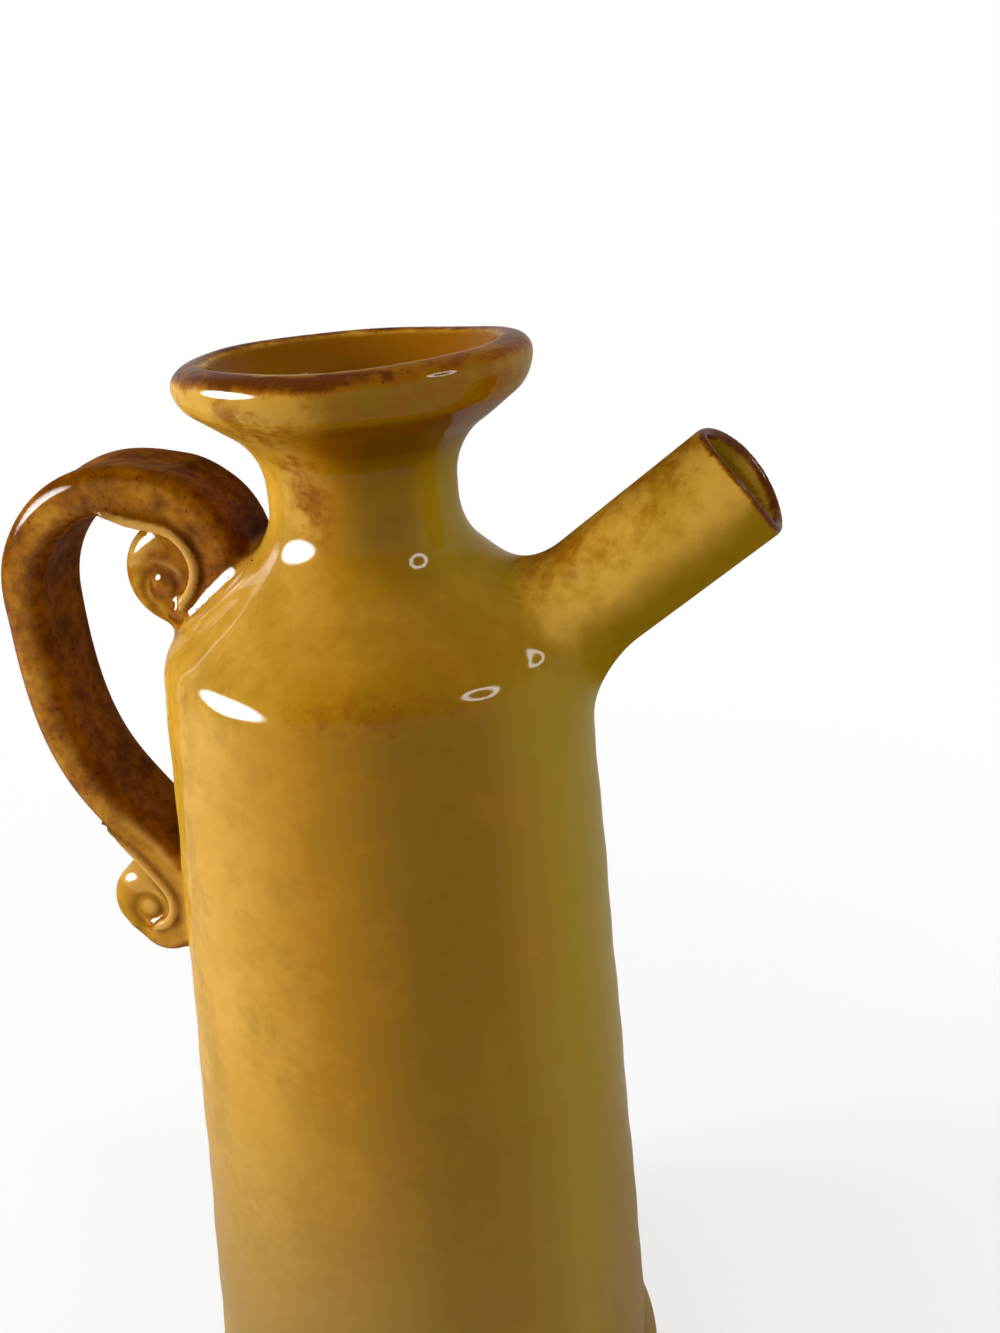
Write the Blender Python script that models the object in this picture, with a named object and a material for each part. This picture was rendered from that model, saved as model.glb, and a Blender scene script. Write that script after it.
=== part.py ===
# Oil cruet of thrown earthenware: a tall conical body with a rounded shoulder, a concave neck with a
# flared lip, a tubular spout along +X and a strap handle with two scrolls along -X. Units are metres, +Z is
# up, and the origin is the centre of the resting face.

import math

import bmesh
import bpy
from mathutils import Matrix, Vector

MM = 0.001

# Clearance between neighbouring clay members
GAP = 0.3 * MM

# Wall and floor
WALL = 4.8 * MM
FLOOR = 8.0 * MM
FLOOR_ROUND = 9.0 * MM

# Foot, which flares out from the body's lower end
FOOT_FLARE = 3.1 * MM
BASE_INSET = 2.1 * MM
BASE_ROUND = 2.6 * MM
FOOT_ROUND = 6.0 * MM
FOOT_BATTER = 0.3 * MM
FOOT_SIDE_HEIGHT = 7.6 * MM
FOOT_HEIGHT = 14.0 * MM
FOOT_HOLLOW_ROUND = 6.0 * MM

# Body, a cone that narrows upwards
BODY_LOW_RADIUS = 54.3 * MM
BODY_TOP_RADIUS = 44.0 * MM
BODY_HEIGHT = 173.5 * MM

# Shoulder and neck
SHOULDER_RISE = 17.5 * MM
SHOULDER_ROUND = 11.0 * MM
SHOULDER_STEEPNESS = math.radians(42.7)
NECK_RADIUS = 19.1 * MM
NECK_LOW_ROUND = 16.0 * MM
NECK_LENGTH = 17.0 * MM
NECK_HIGH_ROUND = 15.0 * MM
JOINT_SHARE = 0.25

# Lip, a bead round the edge of the flare
LIP_RADIUS = 35.1 * MM
LIP_BEAD = 4.4 * MM
LIP_STEEPNESS = math.radians(38.0)
LIP_RISE_TO_SPOUT = 0.035
LIP_RISE_TO_BACK = -0.035

# Spout
SPOUT_RADIUS = 12.6 * MM
SPOUT_BORE = 8.6 * MM
SPOUT_LENGTH = 46.6 * MM
SPOUT_ELEVATION = math.radians(39.5)
SPOUT_AXIS_DROP = 27.7 * MM
SPOUT_RIM_ROUND = 1.4 * MM
SPOUT_RIM_BEVEL = 0.42 * MM
SPOUT_BORE_START = 15.0 * MM
COLLAR_SPREAD = 7.0 * MM
COLLAR_EDGE = 0.9 * MM
COLLAR_SEATS = 4
COLLAR_SHARES = (0.3, 0.6, 0.85)

# Strap handle, in the plane through the pot's axis
STRAP_WIDTH = 22.0 * MM
STRAP_THICKNESS = 8.8 * MM
STRAP_TAIL = 2.6 * MM
STRAP_EDGE_ROUND = 2.6 * MM
EDGE_SHARE = 0.42
ARCH_OUT = 10.6 * MM
ARCH_RISE = 18.3 * MM
ARCH_ROUNDNESS = 0.55
EAR_REACH = 34.8 * MM
EAR_DROP = 8.5 * MM
EAR_FALL = 42.0 * MM
ROOT_RUN = 24.0 * MM

# Upper scroll, with its turn as angles round its eye
UPPER_EYE_STANDOFF = 11.2 * MM
UPPER_EYE_RISE = 13.5 * MM
UPPER_TURN_RADIUS = 17.4 * MM
UPPER_TAIL_RADIUS = 7.2 * MM
UPPER_TURN_THICKNESS = 7.4 * MM
UPPER_TURN_EASE = 1.18
UPPER_TURN_FROM = math.radians(84.0)
UPPER_ENTRY_TO = math.radians(112.0)
UPPER_THIN_FROM = math.radians(180.0)
UPPER_CLOSED_AT = math.radians(275.0)
UPPER_LIFT_FROM = math.radians(360.0)
UPPER_TURN_TO = math.radians(428.0)
UPPER_ROLL_RADIUS = 10.4 * MM

# Lower scroll
LOWER_EYE_STANDOFF = 10.6 * MM
LOWER_EYE_DROP = 65.8 * MM
LOWER_TURN_RADIUS = 11.3 * MM
LOWER_TAIL_RADIUS = 6.3 * MM
LOWER_TURN_EASE = 0.65
LOWER_TURN_FROM = math.radians(138.0)
LOWER_THIN_FROM = math.radians(240.0)
LOWER_CLOSED_AT = math.radians(318.0)
LOWER_LIFT_FROM = math.radians(365.0)
LOWER_TURN_TO = math.radians(425.0)
LOWER_ROLL_RADIUS = 7.8 * MM

# Rise of both tails towards the strap's underside, per radian squared
TAIL_LIFT = 2.8 * MM

# Rolled ends inside both scrolls
ROLL_WIDTH = 20.0 * MM
ROLL_HOLLOW = 1.2 * MM
ROLL_CLEARANCE = 0.5 * MM
ROLL_SWELL = 14.0 * MM
ROLL_RIM_SHARE = 0.88
REACH_STEP = 0.15 * MM
EYE_RADIUS = 2.2 * MM
EYE_PROUD = 1.2 * MM
EYE_TOP_SHARE = 0.25

# Flat faces in the round shapes, and the angle from which an edge looks sharp
SHARP_FROM = math.radians(50.0)
TURN_STEPS = 48
TUBE_STEPS = 28
ROLL_STEPS = 28
CURVE_STEPS = 9
ARC_STEP = math.radians(16.0)
BEAD_STEP = math.radians(24.0)
HEADING_STEP = math.radians(5.0)
ROOT_HALVINGS = 40

# Glaze
GLAZE_ROUGHNESS = 0.25
GLAZE_COAT = 0.6
AMBER = (0.42, 0.23, 0.035)
OLIVE = (0.30, 0.19, 0.020)
BROWN = (0.16, 0.065, 0.012)
TAN = (0.47, 0.22, 0.045)


def clear_scene():
    for old in list(bpy.data.objects):
        bpy.data.objects.remove(old, do_unlink=True)


def glaze(name, colour):
    """Glazed earthenware: glossy, and not metallic."""
    material = bpy.data.materials.new(name)
    material.use_nodes = True
    shader = material.node_tree.nodes["Principled BSDF"]
    shader.inputs["Base Color"].default_value = (*colour, 1.0)
    shader.inputs["Roughness"].default_value = GLAZE_ROUGHNESS
    shader.inputs["Metallic"].default_value = 0.0
    shader.inputs["Coat Weight"].default_value = GLAZE_COAT
    material.diffuse_color = (*colour, 1.0)
    return material


def add_object(name, bm, colour):
    """Closes the bmesh into a smooth-shaded object with its own glaze."""
    bmesh.ops.remove_doubles(bm, verts=bm.verts, dist=0.001 * MM)
    bmesh.ops.recalc_face_normals(bm, faces=bm.faces)
    mesh = bpy.data.meshes.new(name)
    bm.to_mesh(mesh)
    bm.free()
    mesh.materials.append(glaze(name + "_glaze", colour))
    mesh.shade_smooth()
    mesh.set_sharp_from_angle(angle=SHARP_FROM)
    piece = bpy.data.objects.new(name, mesh)
    bpy.context.scene.collection.objects.link(piece)
    return piece


def make_helper(piece):
    """Marks an object as a cutter, which isn't part of the cruet."""
    piece.hide_render = True
    piece.display_type = "WIRE"
    return piece


def cut(piece, cutter):
    boolean = piece.modifiers.new("cut_" + cutter.name, "BOOLEAN")
    boolean.operation = "DIFFERENCE"
    boolean.solver = "EXACT"
    boolean.object = cutter


def rounded(corners):
    """The outline through (radius, height, rounding) corners, with each rounding as an arc."""
    points = []
    for index, (x, y, rounding) in enumerate(corners):
        here = Vector((x, y))
        if rounding <= 0.0:
            points.append(here)
            continue
        before = (Vector(corners[index - 1][:2]) - here).normalized()
        after = (Vector(corners[index + 1][:2]) - here).normalized()
        turn = math.pi - before.angle(after)
        reach = rounding * math.tan(turn / 2.0)
        centre = here + (before + after).normalized() * math.hypot(rounding, reach)
        first = here + before * reach - centre
        swing = -turn if (-before).cross(after) < 0.0 else turn
        steps = max(2, math.ceil(turn / ARC_STEP))
        for step in range(steps + 1):
            points.append(centre + Matrix.Rotation(swing * step / steps, 2) @ first)
    return points


def offset(points, distance):
    """The open outline moved sideways by distance, to its right when that is positive."""
    moved = []
    for index, point in enumerate(points):
        sides = []
        if index > 0:
            sides.append((point - points[index - 1]).normalized())
        if index < len(points) - 1:
            sides.append((points[index + 1] - point).normalized())
        along = sum(sides, Vector((0.0, 0.0))).normalized()
        mitre = distance / along.dot(sides[0])
        moved.append(point + Vector((along.y, -along.x)) * mitre)
    return moved


def radius_at(points, height):
    """The outline's radius at a height, for an outline that climbs."""
    for low, high in zip(points, points[1:]):
        if low.y <= height <= high.y and high.y > low.y:
            return low.x + (high.x - low.x) * (height - low.y) / (high.y - low.y)
    return points[-1].x if height > points[-1].y else points[0].x


def between(points, low, high):
    """The stretch of a climbing outline between two heights."""
    middle = [p for p in points if low < p.y < high]
    first = Vector((radius_at(points, low), low))
    last = Vector((radius_at(points, high), high))
    return [first] + middle + [last]


def foot_radius():
    return BODY_LOW_RADIUS + FOOT_FLARE


def body_top():
    return FOOT_HEIGHT + BODY_HEIGHT


def shoulder_corner():
    """Height where the body's cone would meet the shoulder's."""
    return body_top() + SHOULDER_RISE


def neck_corner():
    """Height where the shoulder's cone would meet the neck."""
    return shoulder_corner() + (BODY_TOP_RADIUS - NECK_RADIUS) * math.tan(SHOULDER_STEEPNESS)


def neck_start():
    """Height of the joint between shoulder and neck."""
    return neck_corner() - JOINT_SHARE * NECK_LOW_ROUND


def lip_start():
    """Height of the joint between neck and lip."""
    return neck_corner() + NECK_LENGTH + JOINT_SHARE * NECK_HIGH_ROUND


def bead_centre():
    """Centre of the lip's bead, which the flare's underside touches."""
    x = LIP_RADIUS - LIP_BEAD
    flare = neck_corner() + NECK_LENGTH + (x - NECK_RADIUS) * math.tan(LIP_STEEPNESS)
    return Vector((x, flare + LIP_BEAD / math.cos(LIP_STEEPNESS)))


def outer_outline():
    """The pot's outside, from the resting face up to where the flare meets the lip's bead."""
    touch = bead_centre() + LIP_BEAD * Vector((math.sin(LIP_STEEPNESS), -math.cos(LIP_STEEPNESS)))
    return rounded([
        (foot_radius() - BASE_INSET, 0.0, 0.0),
        (foot_radius(), BASE_ROUND, BASE_ROUND),
        (foot_radius() - FOOT_BATTER, FOOT_SIDE_HEIGHT, FOOT_ROUND),
        (BODY_LOW_RADIUS, FOOT_HEIGHT, FOOT_HOLLOW_ROUND),
        (BODY_TOP_RADIUS, shoulder_corner(), SHOULDER_ROUND),
        (NECK_RADIUS, neck_corner(), NECK_LOW_ROUND),
        (NECK_RADIUS, neck_corner() + NECK_LENGTH, NECK_HIGH_ROUND),
        (touch.x, touch.y, 0.0),
    ])


def inner_outline(outer):
    """The cavity's outline, from the middle of the floor up to the inside of the lip's bead."""
    wall_foot = BODY_LOW_RADIUS - WALL
    upper = [p for p in outer if p.y > FOOT_HEIGHT + FOOT_HOLLOW_ROUND]
    inside = offset(upper, -WALL)
    depth = WALL - LIP_BEAD
    along = Vector((math.cos(LIP_STEEPNESS), math.sin(LIP_STEEPNESS)))
    inside[-1] = inside[-1] - along * math.sqrt(LIP_BEAD ** 2 - depth ** 2)
    floor = rounded([(0.0, FLOOR, 0.0), (wall_foot, FLOOR, FLOOR_ROUND), (*inside[0], 0.0)])
    return floor + inside[1:]


def bead_arc(end):
    """The lip's bead, from the flare's underside over the top to the end of the cavity's outline."""
    centre = bead_centre()
    start = LIP_STEEPNESS - math.pi / 2.0
    stop = math.atan2(end.y - centre.y, end.x - centre.x) % (2.0 * math.pi)
    steps = math.ceil((stop - start) / BEAD_STEP)
    arc = []
    for step in range(1, steps):
        angle = start + (stop - start) * step / steps
        arc.append(centre + LIP_BEAD * Vector((math.cos(angle), math.sin(angle))))
    return arc


def turned(name, outline, colour):
    """A closed outline of (radius, height) points, turned round the pot's axis."""
    bm = bmesh.new()
    corners = [bm.verts.new((p.x, 0.0, p.y)) for p in outline]
    edges = [bm.edges.new((a, b)) for a, b in zip(corners, corners[1:])]
    if outline[0].x > 0.0 or outline[-1].x > 0.0:
        edges.append(bm.edges.new((corners[-1], corners[0])))
    bmesh.ops.spin(
        bm, geom=corners + edges, cent=(0.0, 0.0, 0.0), axis=(0.0, 0.0, 1.0),
        angle=2.0 * math.pi, steps=TURN_STEPS, use_merge=True,
    )
    return add_object(name, bm, colour)


def lofted(name, rings, closed, colour):
    """Rings of equal length joined in order, closed into a loop or capped at both ends."""
    bm = bmesh.new()
    loops = [[bm.verts.new(p) for p in ring] for ring in rings]
    pairs = list(zip(loops, loops[1:]))
    if closed:
        pairs.append((loops[-1], loops[0]))
    else:
        bm.faces.new(loops[0])
        bm.faces.new(loops[-1])
    for one, other in pairs:
        for index in range(len(one)):
            following = (index + 1) % len(one)
            bm.faces.new((one[index], one[following], other[following], other[index]))
    return add_object(name, bm, colour)


def lean_lip(piece):
    """The rim isn't quite level: above the neck's waist it climbs towards the spout and the front."""
    waist = neck_corner() + 0.5 * NECK_LENGTH
    for vertex in piece.data.vertices:
        share = min(1.0, max(0.0, (vertex.co.z - waist) / (lip_start() - waist)))
        rise = LIP_RISE_TO_SPOUT * vertex.co.x + LIP_RISE_TO_BACK * vertex.co.y
        vertex.co.z += share * rise


def make_envelope(outer):
    """Everything within the pot's outside and its clearance, to trim what is joined to the pot."""
    grown = offset(outer, GAP)
    bottom = [Vector((0.0, -WALL)), Vector((grown[0].x, -WALL))]
    top = [Vector((0.0, grown[-1].y))]
    return make_helper(turned("pot_envelope", bottom + grown + top, BROWN))


def spout_point(along, radius, angle):
    """A point at a distance along the spout's axis from the pot's axis, and a radius and angle round it."""
    forward = Vector((math.cos(SPOUT_ELEVATION), 0.0, math.sin(SPOUT_ELEVATION)))
    upward = Vector((-math.sin(SPOUT_ELEVATION), 0.0, math.cos(SPOUT_ELEVATION)))
    sideways = Vector((0.0, 1.0, 0.0))
    out = math.cos(angle) * sideways + math.sin(angle) * upward
    start = Vector((0.0, 0.0, shoulder_corner() - SPOUT_AXIS_DROP))
    return start + along * forward + radius * out


def spout_root(skin, radius, angle):
    """Distance along the spout's axis at which a line beside it comes out of the pot's skin."""
    low = 0.0
    high = BODY_LOW_RADIUS + SPOUT_LENGTH
    for _ in range(ROOT_HALVINGS):
        middle = 0.5 * (low + high)
        point = spout_point(middle, radius, angle)
        if math.hypot(point.x, point.y) < radius_at(skin, point.z):
            low = middle
        else:
            high = middle
    return high


def tube_angles():
    return [2.0 * math.pi * step / TUBE_STEPS for step in range(TUBE_STEPS)]


def spout_tip(skin):
    """Distance of the spout's tip along its axis from the pot's axis."""
    return spout_root(skin, 0.0, 0.0) + SPOUT_LENGTH


def make_spout(skin):
    tip = spout_tip(skin)
    edge = SPOUT_RIM_ROUND
    bevel = SPOUT_RIM_BEVEL
    sections = []
    for angle in tube_angles():
        outer_start = spout_root(skin, SPOUT_RADIUS, angle)
        inner_start = spout_root(skin, SPOUT_BORE, angle)
        profile = [
            (outer_start, SPOUT_RADIUS),
            (tip - edge, SPOUT_RADIUS),
            (tip - bevel, SPOUT_RADIUS - bevel),
            (tip, SPOUT_RADIUS - edge),
            (tip, SPOUT_BORE + edge),
            (tip - bevel, SPOUT_BORE + bevel),
            (tip - edge, SPOUT_BORE),
            (inner_start, SPOUT_BORE),
        ]
        sections.append([spout_point(along, radius, angle) for along, radius in profile])
    return lofted("spout", sections, True, TAN)


def make_collar(skin):
    """A fillet of clay in the corner between the spout and the pot, with a hollow face."""
    inner = SPOUT_RADIUS + GAP
    outer = inner + COLLAR_SPREAD
    sections = []
    for angle in tube_angles():
        seat = []
        for step in range(COLLAR_SEATS):
            radius = outer + (inner - outer) * step / (COLLAR_SEATS - 1)
            seat.append((spout_root(skin, radius, angle), radius))
        skirt = seat[0][0]
        corner = seat[-1][0]
        high = Vector((corner + COLLAR_SPREAD, inner + COLLAR_EDGE))
        low = Vector((skirt + COLLAR_EDGE, outer))
        hollow = Vector((corner + 2.0 * COLLAR_EDGE, inner + 2.0 * COLLAR_EDGE))
        profile = [(corner + COLLAR_SPREAD, inner), tuple(high)]
        for share in COLLAR_SHARES:
            profile.append(tuple(
                (1.0 - share) ** 2 * high + 2.0 * share * (1.0 - share) * hollow + share ** 2 * low
            ))
        profile += [tuple(low)] + seat
        sections.append([spout_point(along, radius, angle) for along, radius in profile])
    return lofted("spout_collar", sections, True, AMBER)


def make_spout_bore(skin):
    """The cutter that opens the pot into the spout."""
    rings = []
    for along in (SPOUT_BORE_START, spout_tip(skin)):
        rings.append([spout_point(along, SPOUT_BORE, angle) for angle in tube_angles()])
    return make_helper(lofted("spout_bore", rings, False, BROWN))


def upper_eye(outer):
    """Eye of the upper scroll, as (distance out from the pot's axis, height)."""
    height = shoulder_corner() + UPPER_EYE_RISE
    return Vector((radius_at(outer, height) + UPPER_EYE_STANDOFF, height))


def lower_eye(outer):
    height = shoulder_corner() - LOWER_EYE_DROP
    return Vector((radius_at(outer, height) + LOWER_EYE_STANDOFF, height))


def turn_share(angle, turn_from, turn_to):
    """1 up to where a change along the turn begins, falling to 0 where it is complete."""
    return min(1.0, max(0.0, (turn_to - angle) / (turn_to - turn_from)))


def tail_lift(angle, lift_from):
    return TAIL_LIFT * max(0.0, angle - lift_from) ** 2


def upper_radius(angle):
    """Distance of the strap's middle from the upper eye: it closes in, and lifts again at the tail."""
    share = turn_share(angle, UPPER_TURN_FROM, UPPER_CLOSED_AT) ** UPPER_TURN_EASE
    closing = UPPER_TAIL_RADIUS * (UPPER_TURN_RADIUS / UPPER_TAIL_RADIUS) ** share
    return closing + tail_lift(angle, UPPER_LIFT_FROM)


def lower_radius(angle):
    share = turn_share(angle, LOWER_TURN_FROM, LOWER_CLOSED_AT) ** LOWER_TURN_EASE
    closing = LOWER_TAIL_RADIUS * (LOWER_TURN_RADIUS / LOWER_TAIL_RADIUS) ** share
    return closing + tail_lift(angle, LOWER_LIFT_FROM)


def upper_thickness(angle):
    """The strap is drawn thinner as it enters the turn, and thins again beside the shoulder to its tail."""
    entering = turn_share(angle, UPPER_TURN_FROM, UPPER_ENTRY_TO)
    full = UPPER_TURN_THICKNESS + (STRAP_THICKNESS - UPPER_TURN_THICKNESS) * entering
    share = turn_share(angle, UPPER_THIN_FROM, UPPER_CLOSED_AT)
    return STRAP_TAIL + (full - STRAP_TAIL) * share


def lower_thickness(angle):
    share = turn_share(angle, LOWER_THIN_FROM, LOWER_CLOSED_AT)
    return STRAP_TAIL + (STRAP_THICKNESS - STRAP_TAIL) * share


def round_eye(eye, radius, angle):
    return eye + radius * Vector((math.cos(angle), math.sin(angle)))


def bezier(start, first, second, end, steps):
    """Points after the start, up to and with the end, of a cubic curve."""
    points = []
    for step in range(1, steps + 1):
        t = step / steps
        s = 1.0 - t
        points.append(s ** 3 * start + 3.0 * s * s * t * first + 3.0 * s * t * t * second + t ** 3 * end)
    return points


def strap_path(outer):
    """(middle, thickness) pairs of the strap from its tail in the upper scroll to that in the lower one."""
    top_eye = upper_eye(outer)
    low_eye = lower_eye(outer)
    path = []
    steps = math.ceil((UPPER_TURN_TO - UPPER_TURN_FROM) / ARC_STEP)
    for step in range(steps + 1):
        angle = UPPER_TURN_TO + (UPPER_TURN_FROM - UPPER_TURN_TO) * step / steps
        path.append((round_eye(top_eye, upper_radius(angle), angle), upper_thickness(angle)))
    leaving = path[-1][0]
    heading = (leaving - path[-2][0]).normalized()
    arch_top = top_eye + Vector((ARCH_OUT, ARCH_RISE))
    widest = top_eye + Vector((EAR_REACH, -EAR_DROP))
    landing = round_eye(low_eye, lower_radius(LOWER_TURN_FROM), LOWER_TURN_FROM)
    just_in = LOWER_TURN_FROM + HEADING_STEP
    after = round_eye(low_eye, lower_radius(just_in), just_in)
    arriving = (after - landing).normalized()
    third = (arch_top - leaving).length / 3.0
    ear_out = Vector((ARCH_ROUNDNESS * (widest.x - arch_top.x), 0.0))
    ear_up = Vector((0.0, ARCH_ROUNDNESS * (arch_top.y - widest.y)))
    middle = bezier(leaving, leaving + third * heading, arch_top - Vector((third, 0.0)), arch_top, 3)
    middle += bezier(arch_top, arch_top + ear_out, widest + ear_up, widest, CURVE_STEPS)
    fall = Vector((0.0, -EAR_FALL))
    middle += bezier(widest, widest + fall, landing - ROOT_RUN * arriving, landing, CURVE_STEPS + 2)
    path += [(point, STRAP_THICKNESS) for point in middle]
    steps = math.ceil((LOWER_TURN_TO - LOWER_TURN_FROM) / ARC_STEP)
    for step in range(1, steps + 1):
        angle = LOWER_TURN_FROM + (LOWER_TURN_TO - LOWER_TURN_FROM) * step / steps
        path.append((round_eye(low_eye, lower_radius(angle), angle), lower_thickness(angle)))
    return path


def strap_section(thickness):
    """(across, through) points of the strap's section, a flat bar with rounded edges."""
    rounding = min(STRAP_EDGE_ROUND, EDGE_SHARE * thickness)
    side = 0.5 * STRAP_WIDTH - rounding
    face = 0.5 * thickness - rounding
    points = []
    for corner, (across, through) in enumerate(((side, face), (-side, face), (-side, -face), (side, -face))):
        for step in range(3):
            angle = 0.5 * math.pi * (corner + 0.5 * step)
            points.append((across + rounding * math.cos(angle), through + rounding * math.sin(angle)))
    return points


def make_strap(path, envelope):
    rings = []
    for index, (middle, thickness) in enumerate(path):
        before = path[max(0, index - 1)][0]
        after = path[min(len(path) - 1, index + 1)][0]
        along = (after - before).normalized()
        normal = Vector((-along.y, along.x))
        ring = []
        for across, through in strap_section(thickness):
            point = middle + through * normal
            ring.append(Vector((-point.x, across, point.y)))
        rings.append(ring)
    strap = lofted("handle_strap", rings, False, BROWN)
    cut(strap, envelope)
    return strap


def strap_clearance(path, point):
    """Distance of a point from the strap's surface, in the plane of the handle."""
    nearest = math.inf
    for (start, start_thickness), (end, end_thickness) in zip(path, path[1:]):
        along = end - start
        share = min(1.0, max(0.0, (point - start).dot(along) / along.length_squared))
        thickness = start_thickness + share * (end_thickness - start_thickness)
        nearest = min(nearest, (point - start - share * along).length - 0.5 * thickness)
    return nearest


def free_reach(path, eye, radius, angle):
    """How far a roll reaches from its eye at an angle, up to its radius, before it meets the strap."""
    reach = EYE_RADIUS
    while reach < radius:
        if strap_clearance(path, round_eye(eye, reach + REACH_STEP, angle)) < ROLL_CLEARANCE:
            break
        reach += REACH_STEP
    return reach


def roll_outline(path, eye, radius):
    """The roll's reach at each of its angles: it fills the strap's turn and swells past the tail."""
    half_steps = 2 * ROLL_STEPS
    half_angle = math.pi / ROLL_STEPS
    free = [free_reach(path, eye, radius, half_angle * index) for index in range(half_steps)]
    outline = []
    for index in range(0, half_steps, 2):
        limits = []
        for other, reach in enumerate(free):
            apart = abs(index - other)
            apart = min(apart, half_steps - apart)
            limits.append(reach + ROLL_SWELL * half_angle * max(0, apart - 1))
        outline.append(min(limits))
    return outline


def make_roll(name, eye, outline, envelope):
    """The strap's rolled end: a disc with a shallow hollow and a small proud eye on both faces."""
    half = 0.5 * ROLL_WIDTH
    face = half - ROLL_HOLLOW
    eye_top = EYE_TOP_SHARE * EYE_RADIUS
    profile = [(0.0, face), (0.5, face), (ROLL_RIM_SHARE, half), (1.0, half - ROLL_HOLLOW)]
    angles = [2.0 * math.pi * index / len(outline) for index in range(len(outline))]
    rings = [[(round_eye(eye, eye_top, angle), face + EYE_PROUD) for angle in angles]]
    for share, across in profile:
        ring = []
        for angle, reach in zip(angles, outline):
            radius = EYE_RADIUS + share * (reach - EYE_RADIUS)
            ring.append((round_eye(eye, radius, angle), across))
        rings.append(ring)
    rings += [[(point, -across) for point, across in ring] for ring in reversed(rings)]
    solid = [[Vector((-point.x, across, point.y)) for point, across in ring] for ring in rings]
    roll = lofted(name, solid, False, BROWN)
    cut(roll, envelope)
    return roll


def make_pot(outer, inner):
    """Foot, body, shoulder, neck and lip: one turned shape, parted where the clay was joined."""
    joints = [FOOT_HEIGHT, body_top(), neck_start(), lip_start()]
    foot_outside = [Vector((0.0, 0.0))] + between(outer, 0.0, joints[0])
    foot_inside = [Vector((radius_at(inner, joints[0]), joints[0]))]
    foot_inside += [p for p in reversed(inner) if p.y < joints[0]]
    pieces = [turned("foot", foot_outside + foot_inside, OLIVE)]
    names = (("body", AMBER), ("shoulder", AMBER), ("neck", OLIVE))
    for (name, colour), low, high in zip(names, joints, joints[1:]):
        outside = between(outer, low + GAP, high)
        inside = between(inner, low + GAP, high)
        pieces.append(turned(name, outside + inside[::-1], colour))
    outside = between(outer, joints[-1] + GAP, outer[-1].y)
    inside = between(inner, joints[-1] + GAP, inner[-1].y)
    pieces.append(turned("lip", outside + bead_arc(inner[-1]) + inside[::-1], BROWN))
    return pieces


def main():
    clear_scene()
    outer = outer_outline()
    inner = inner_outline(outer)
    skin = offset(outer, GAP)
    foot, body, shoulder, neck, lip = make_pot(outer, inner)
    lean_lip(neck)
    lean_lip(lip)
    bore = make_spout_bore(skin)
    for piece in (body, shoulder, neck):
        cut(piece, bore)
    make_spout(skin)
    make_collar(skin)
    envelope = make_envelope(outer)
    path = strap_path(outer)
    make_strap(path, envelope)
    scrolls = (
        ("upper_scroll", upper_eye(outer), UPPER_ROLL_RADIUS),
        ("lower_scroll", lower_eye(outer), LOWER_ROLL_RADIUS),
    )
    for name, eye, radius in scrolls:
        make_roll(name, eye, roll_outline(path, eye, radius), envelope)


main()
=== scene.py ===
# Looks of the earthenware oil cruet: one skin of glazed clay over all the members of the pot, with the joints
# smoothed as wet clay is, then parted again into the pieces that it was built from. The shapes are worked out
# in millimetres, in the frame of the CAD model, and turned into metres when a mesh is made.

import math

import bpy
import numpy as np
from mathutils import Matrix, Vector


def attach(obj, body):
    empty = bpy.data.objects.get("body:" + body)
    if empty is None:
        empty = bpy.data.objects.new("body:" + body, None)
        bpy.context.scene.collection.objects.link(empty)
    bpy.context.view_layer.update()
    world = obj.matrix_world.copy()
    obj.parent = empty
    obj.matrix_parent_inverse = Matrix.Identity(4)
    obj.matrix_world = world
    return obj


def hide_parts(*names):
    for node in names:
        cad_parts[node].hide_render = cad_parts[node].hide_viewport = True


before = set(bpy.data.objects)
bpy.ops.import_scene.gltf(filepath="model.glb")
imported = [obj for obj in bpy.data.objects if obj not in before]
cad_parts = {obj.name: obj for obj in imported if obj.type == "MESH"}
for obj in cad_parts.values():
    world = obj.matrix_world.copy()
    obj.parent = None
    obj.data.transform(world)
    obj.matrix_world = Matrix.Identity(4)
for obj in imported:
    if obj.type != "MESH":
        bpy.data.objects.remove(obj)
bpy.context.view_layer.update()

MM = 0.001

# Camera, fitted to the photograph's outlines
FOCAL_LENGTH = 37.81
SENSOR_WIDTH = 36.0
CLIP_START = 0.01
CAMERA_PITCH = 22.69
CAMERA_ROLL = -3.00
CAMERA_YAW = 5.30
CAMERA_TURN = 18.84
CAMERA_DISTANCE = 273.7
CAMERA_HEIGHT = 310.0

# Pot, as in the CAD model but for a fuller lip. Each ROUND rounds a corner of the outline.
WALL = 4.8
FLOOR = 8.0
FLOOR_ROUND = 9.0
BASE_RADIUS = 55.3
FOOT_RADIUS = 57.4
FOOT_EDGE = 2.6
FOOT_NARROWS = 0.3
FOOT_WAIST = 7.6
FOOT_ROUND = 6.0
FOOT_HEIGHT = 14.0
BODY_LOW_RADIUS = 54.3
BODY_TOP_RADIUS = 44.0
BODY_TOP = 187.5
SHOULDER_CORNER = 205.0
SHOULDER_ROUND = 11.0
SHOULDER_SLOPE = math.radians(42.7)
NECK_RADIUS = 19.1
NECK_LOW = SHOULDER_CORNER + (BODY_TOP_RADIUS - NECK_RADIUS) * math.tan(SHOULDER_SLOPE)
NECK_LOW_ROUND = 16.0
NECK_HIGH = NECK_LOW + 17.0
NECK_START = NECK_LOW - 4.0
FLARE_START = NECK_HIGH + 0.5
FLARE_SLOPE = math.radians(34.5)
FLARE_ROUND = 14.0
LIP_START = NECK_HIGH + 3.75
LIP_RADIUS = 35.1
LIP_UNDER_ROUND = 6.6
LIP_EDGE = 262.8
LIP_EDGE_ROUND = 3.7
LIP_CREST = 28.8
LIP_TOP = 264.5
LIP_TOP_ROUND = 3.0
BOWL_SLOPE = math.radians(60.0)
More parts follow.
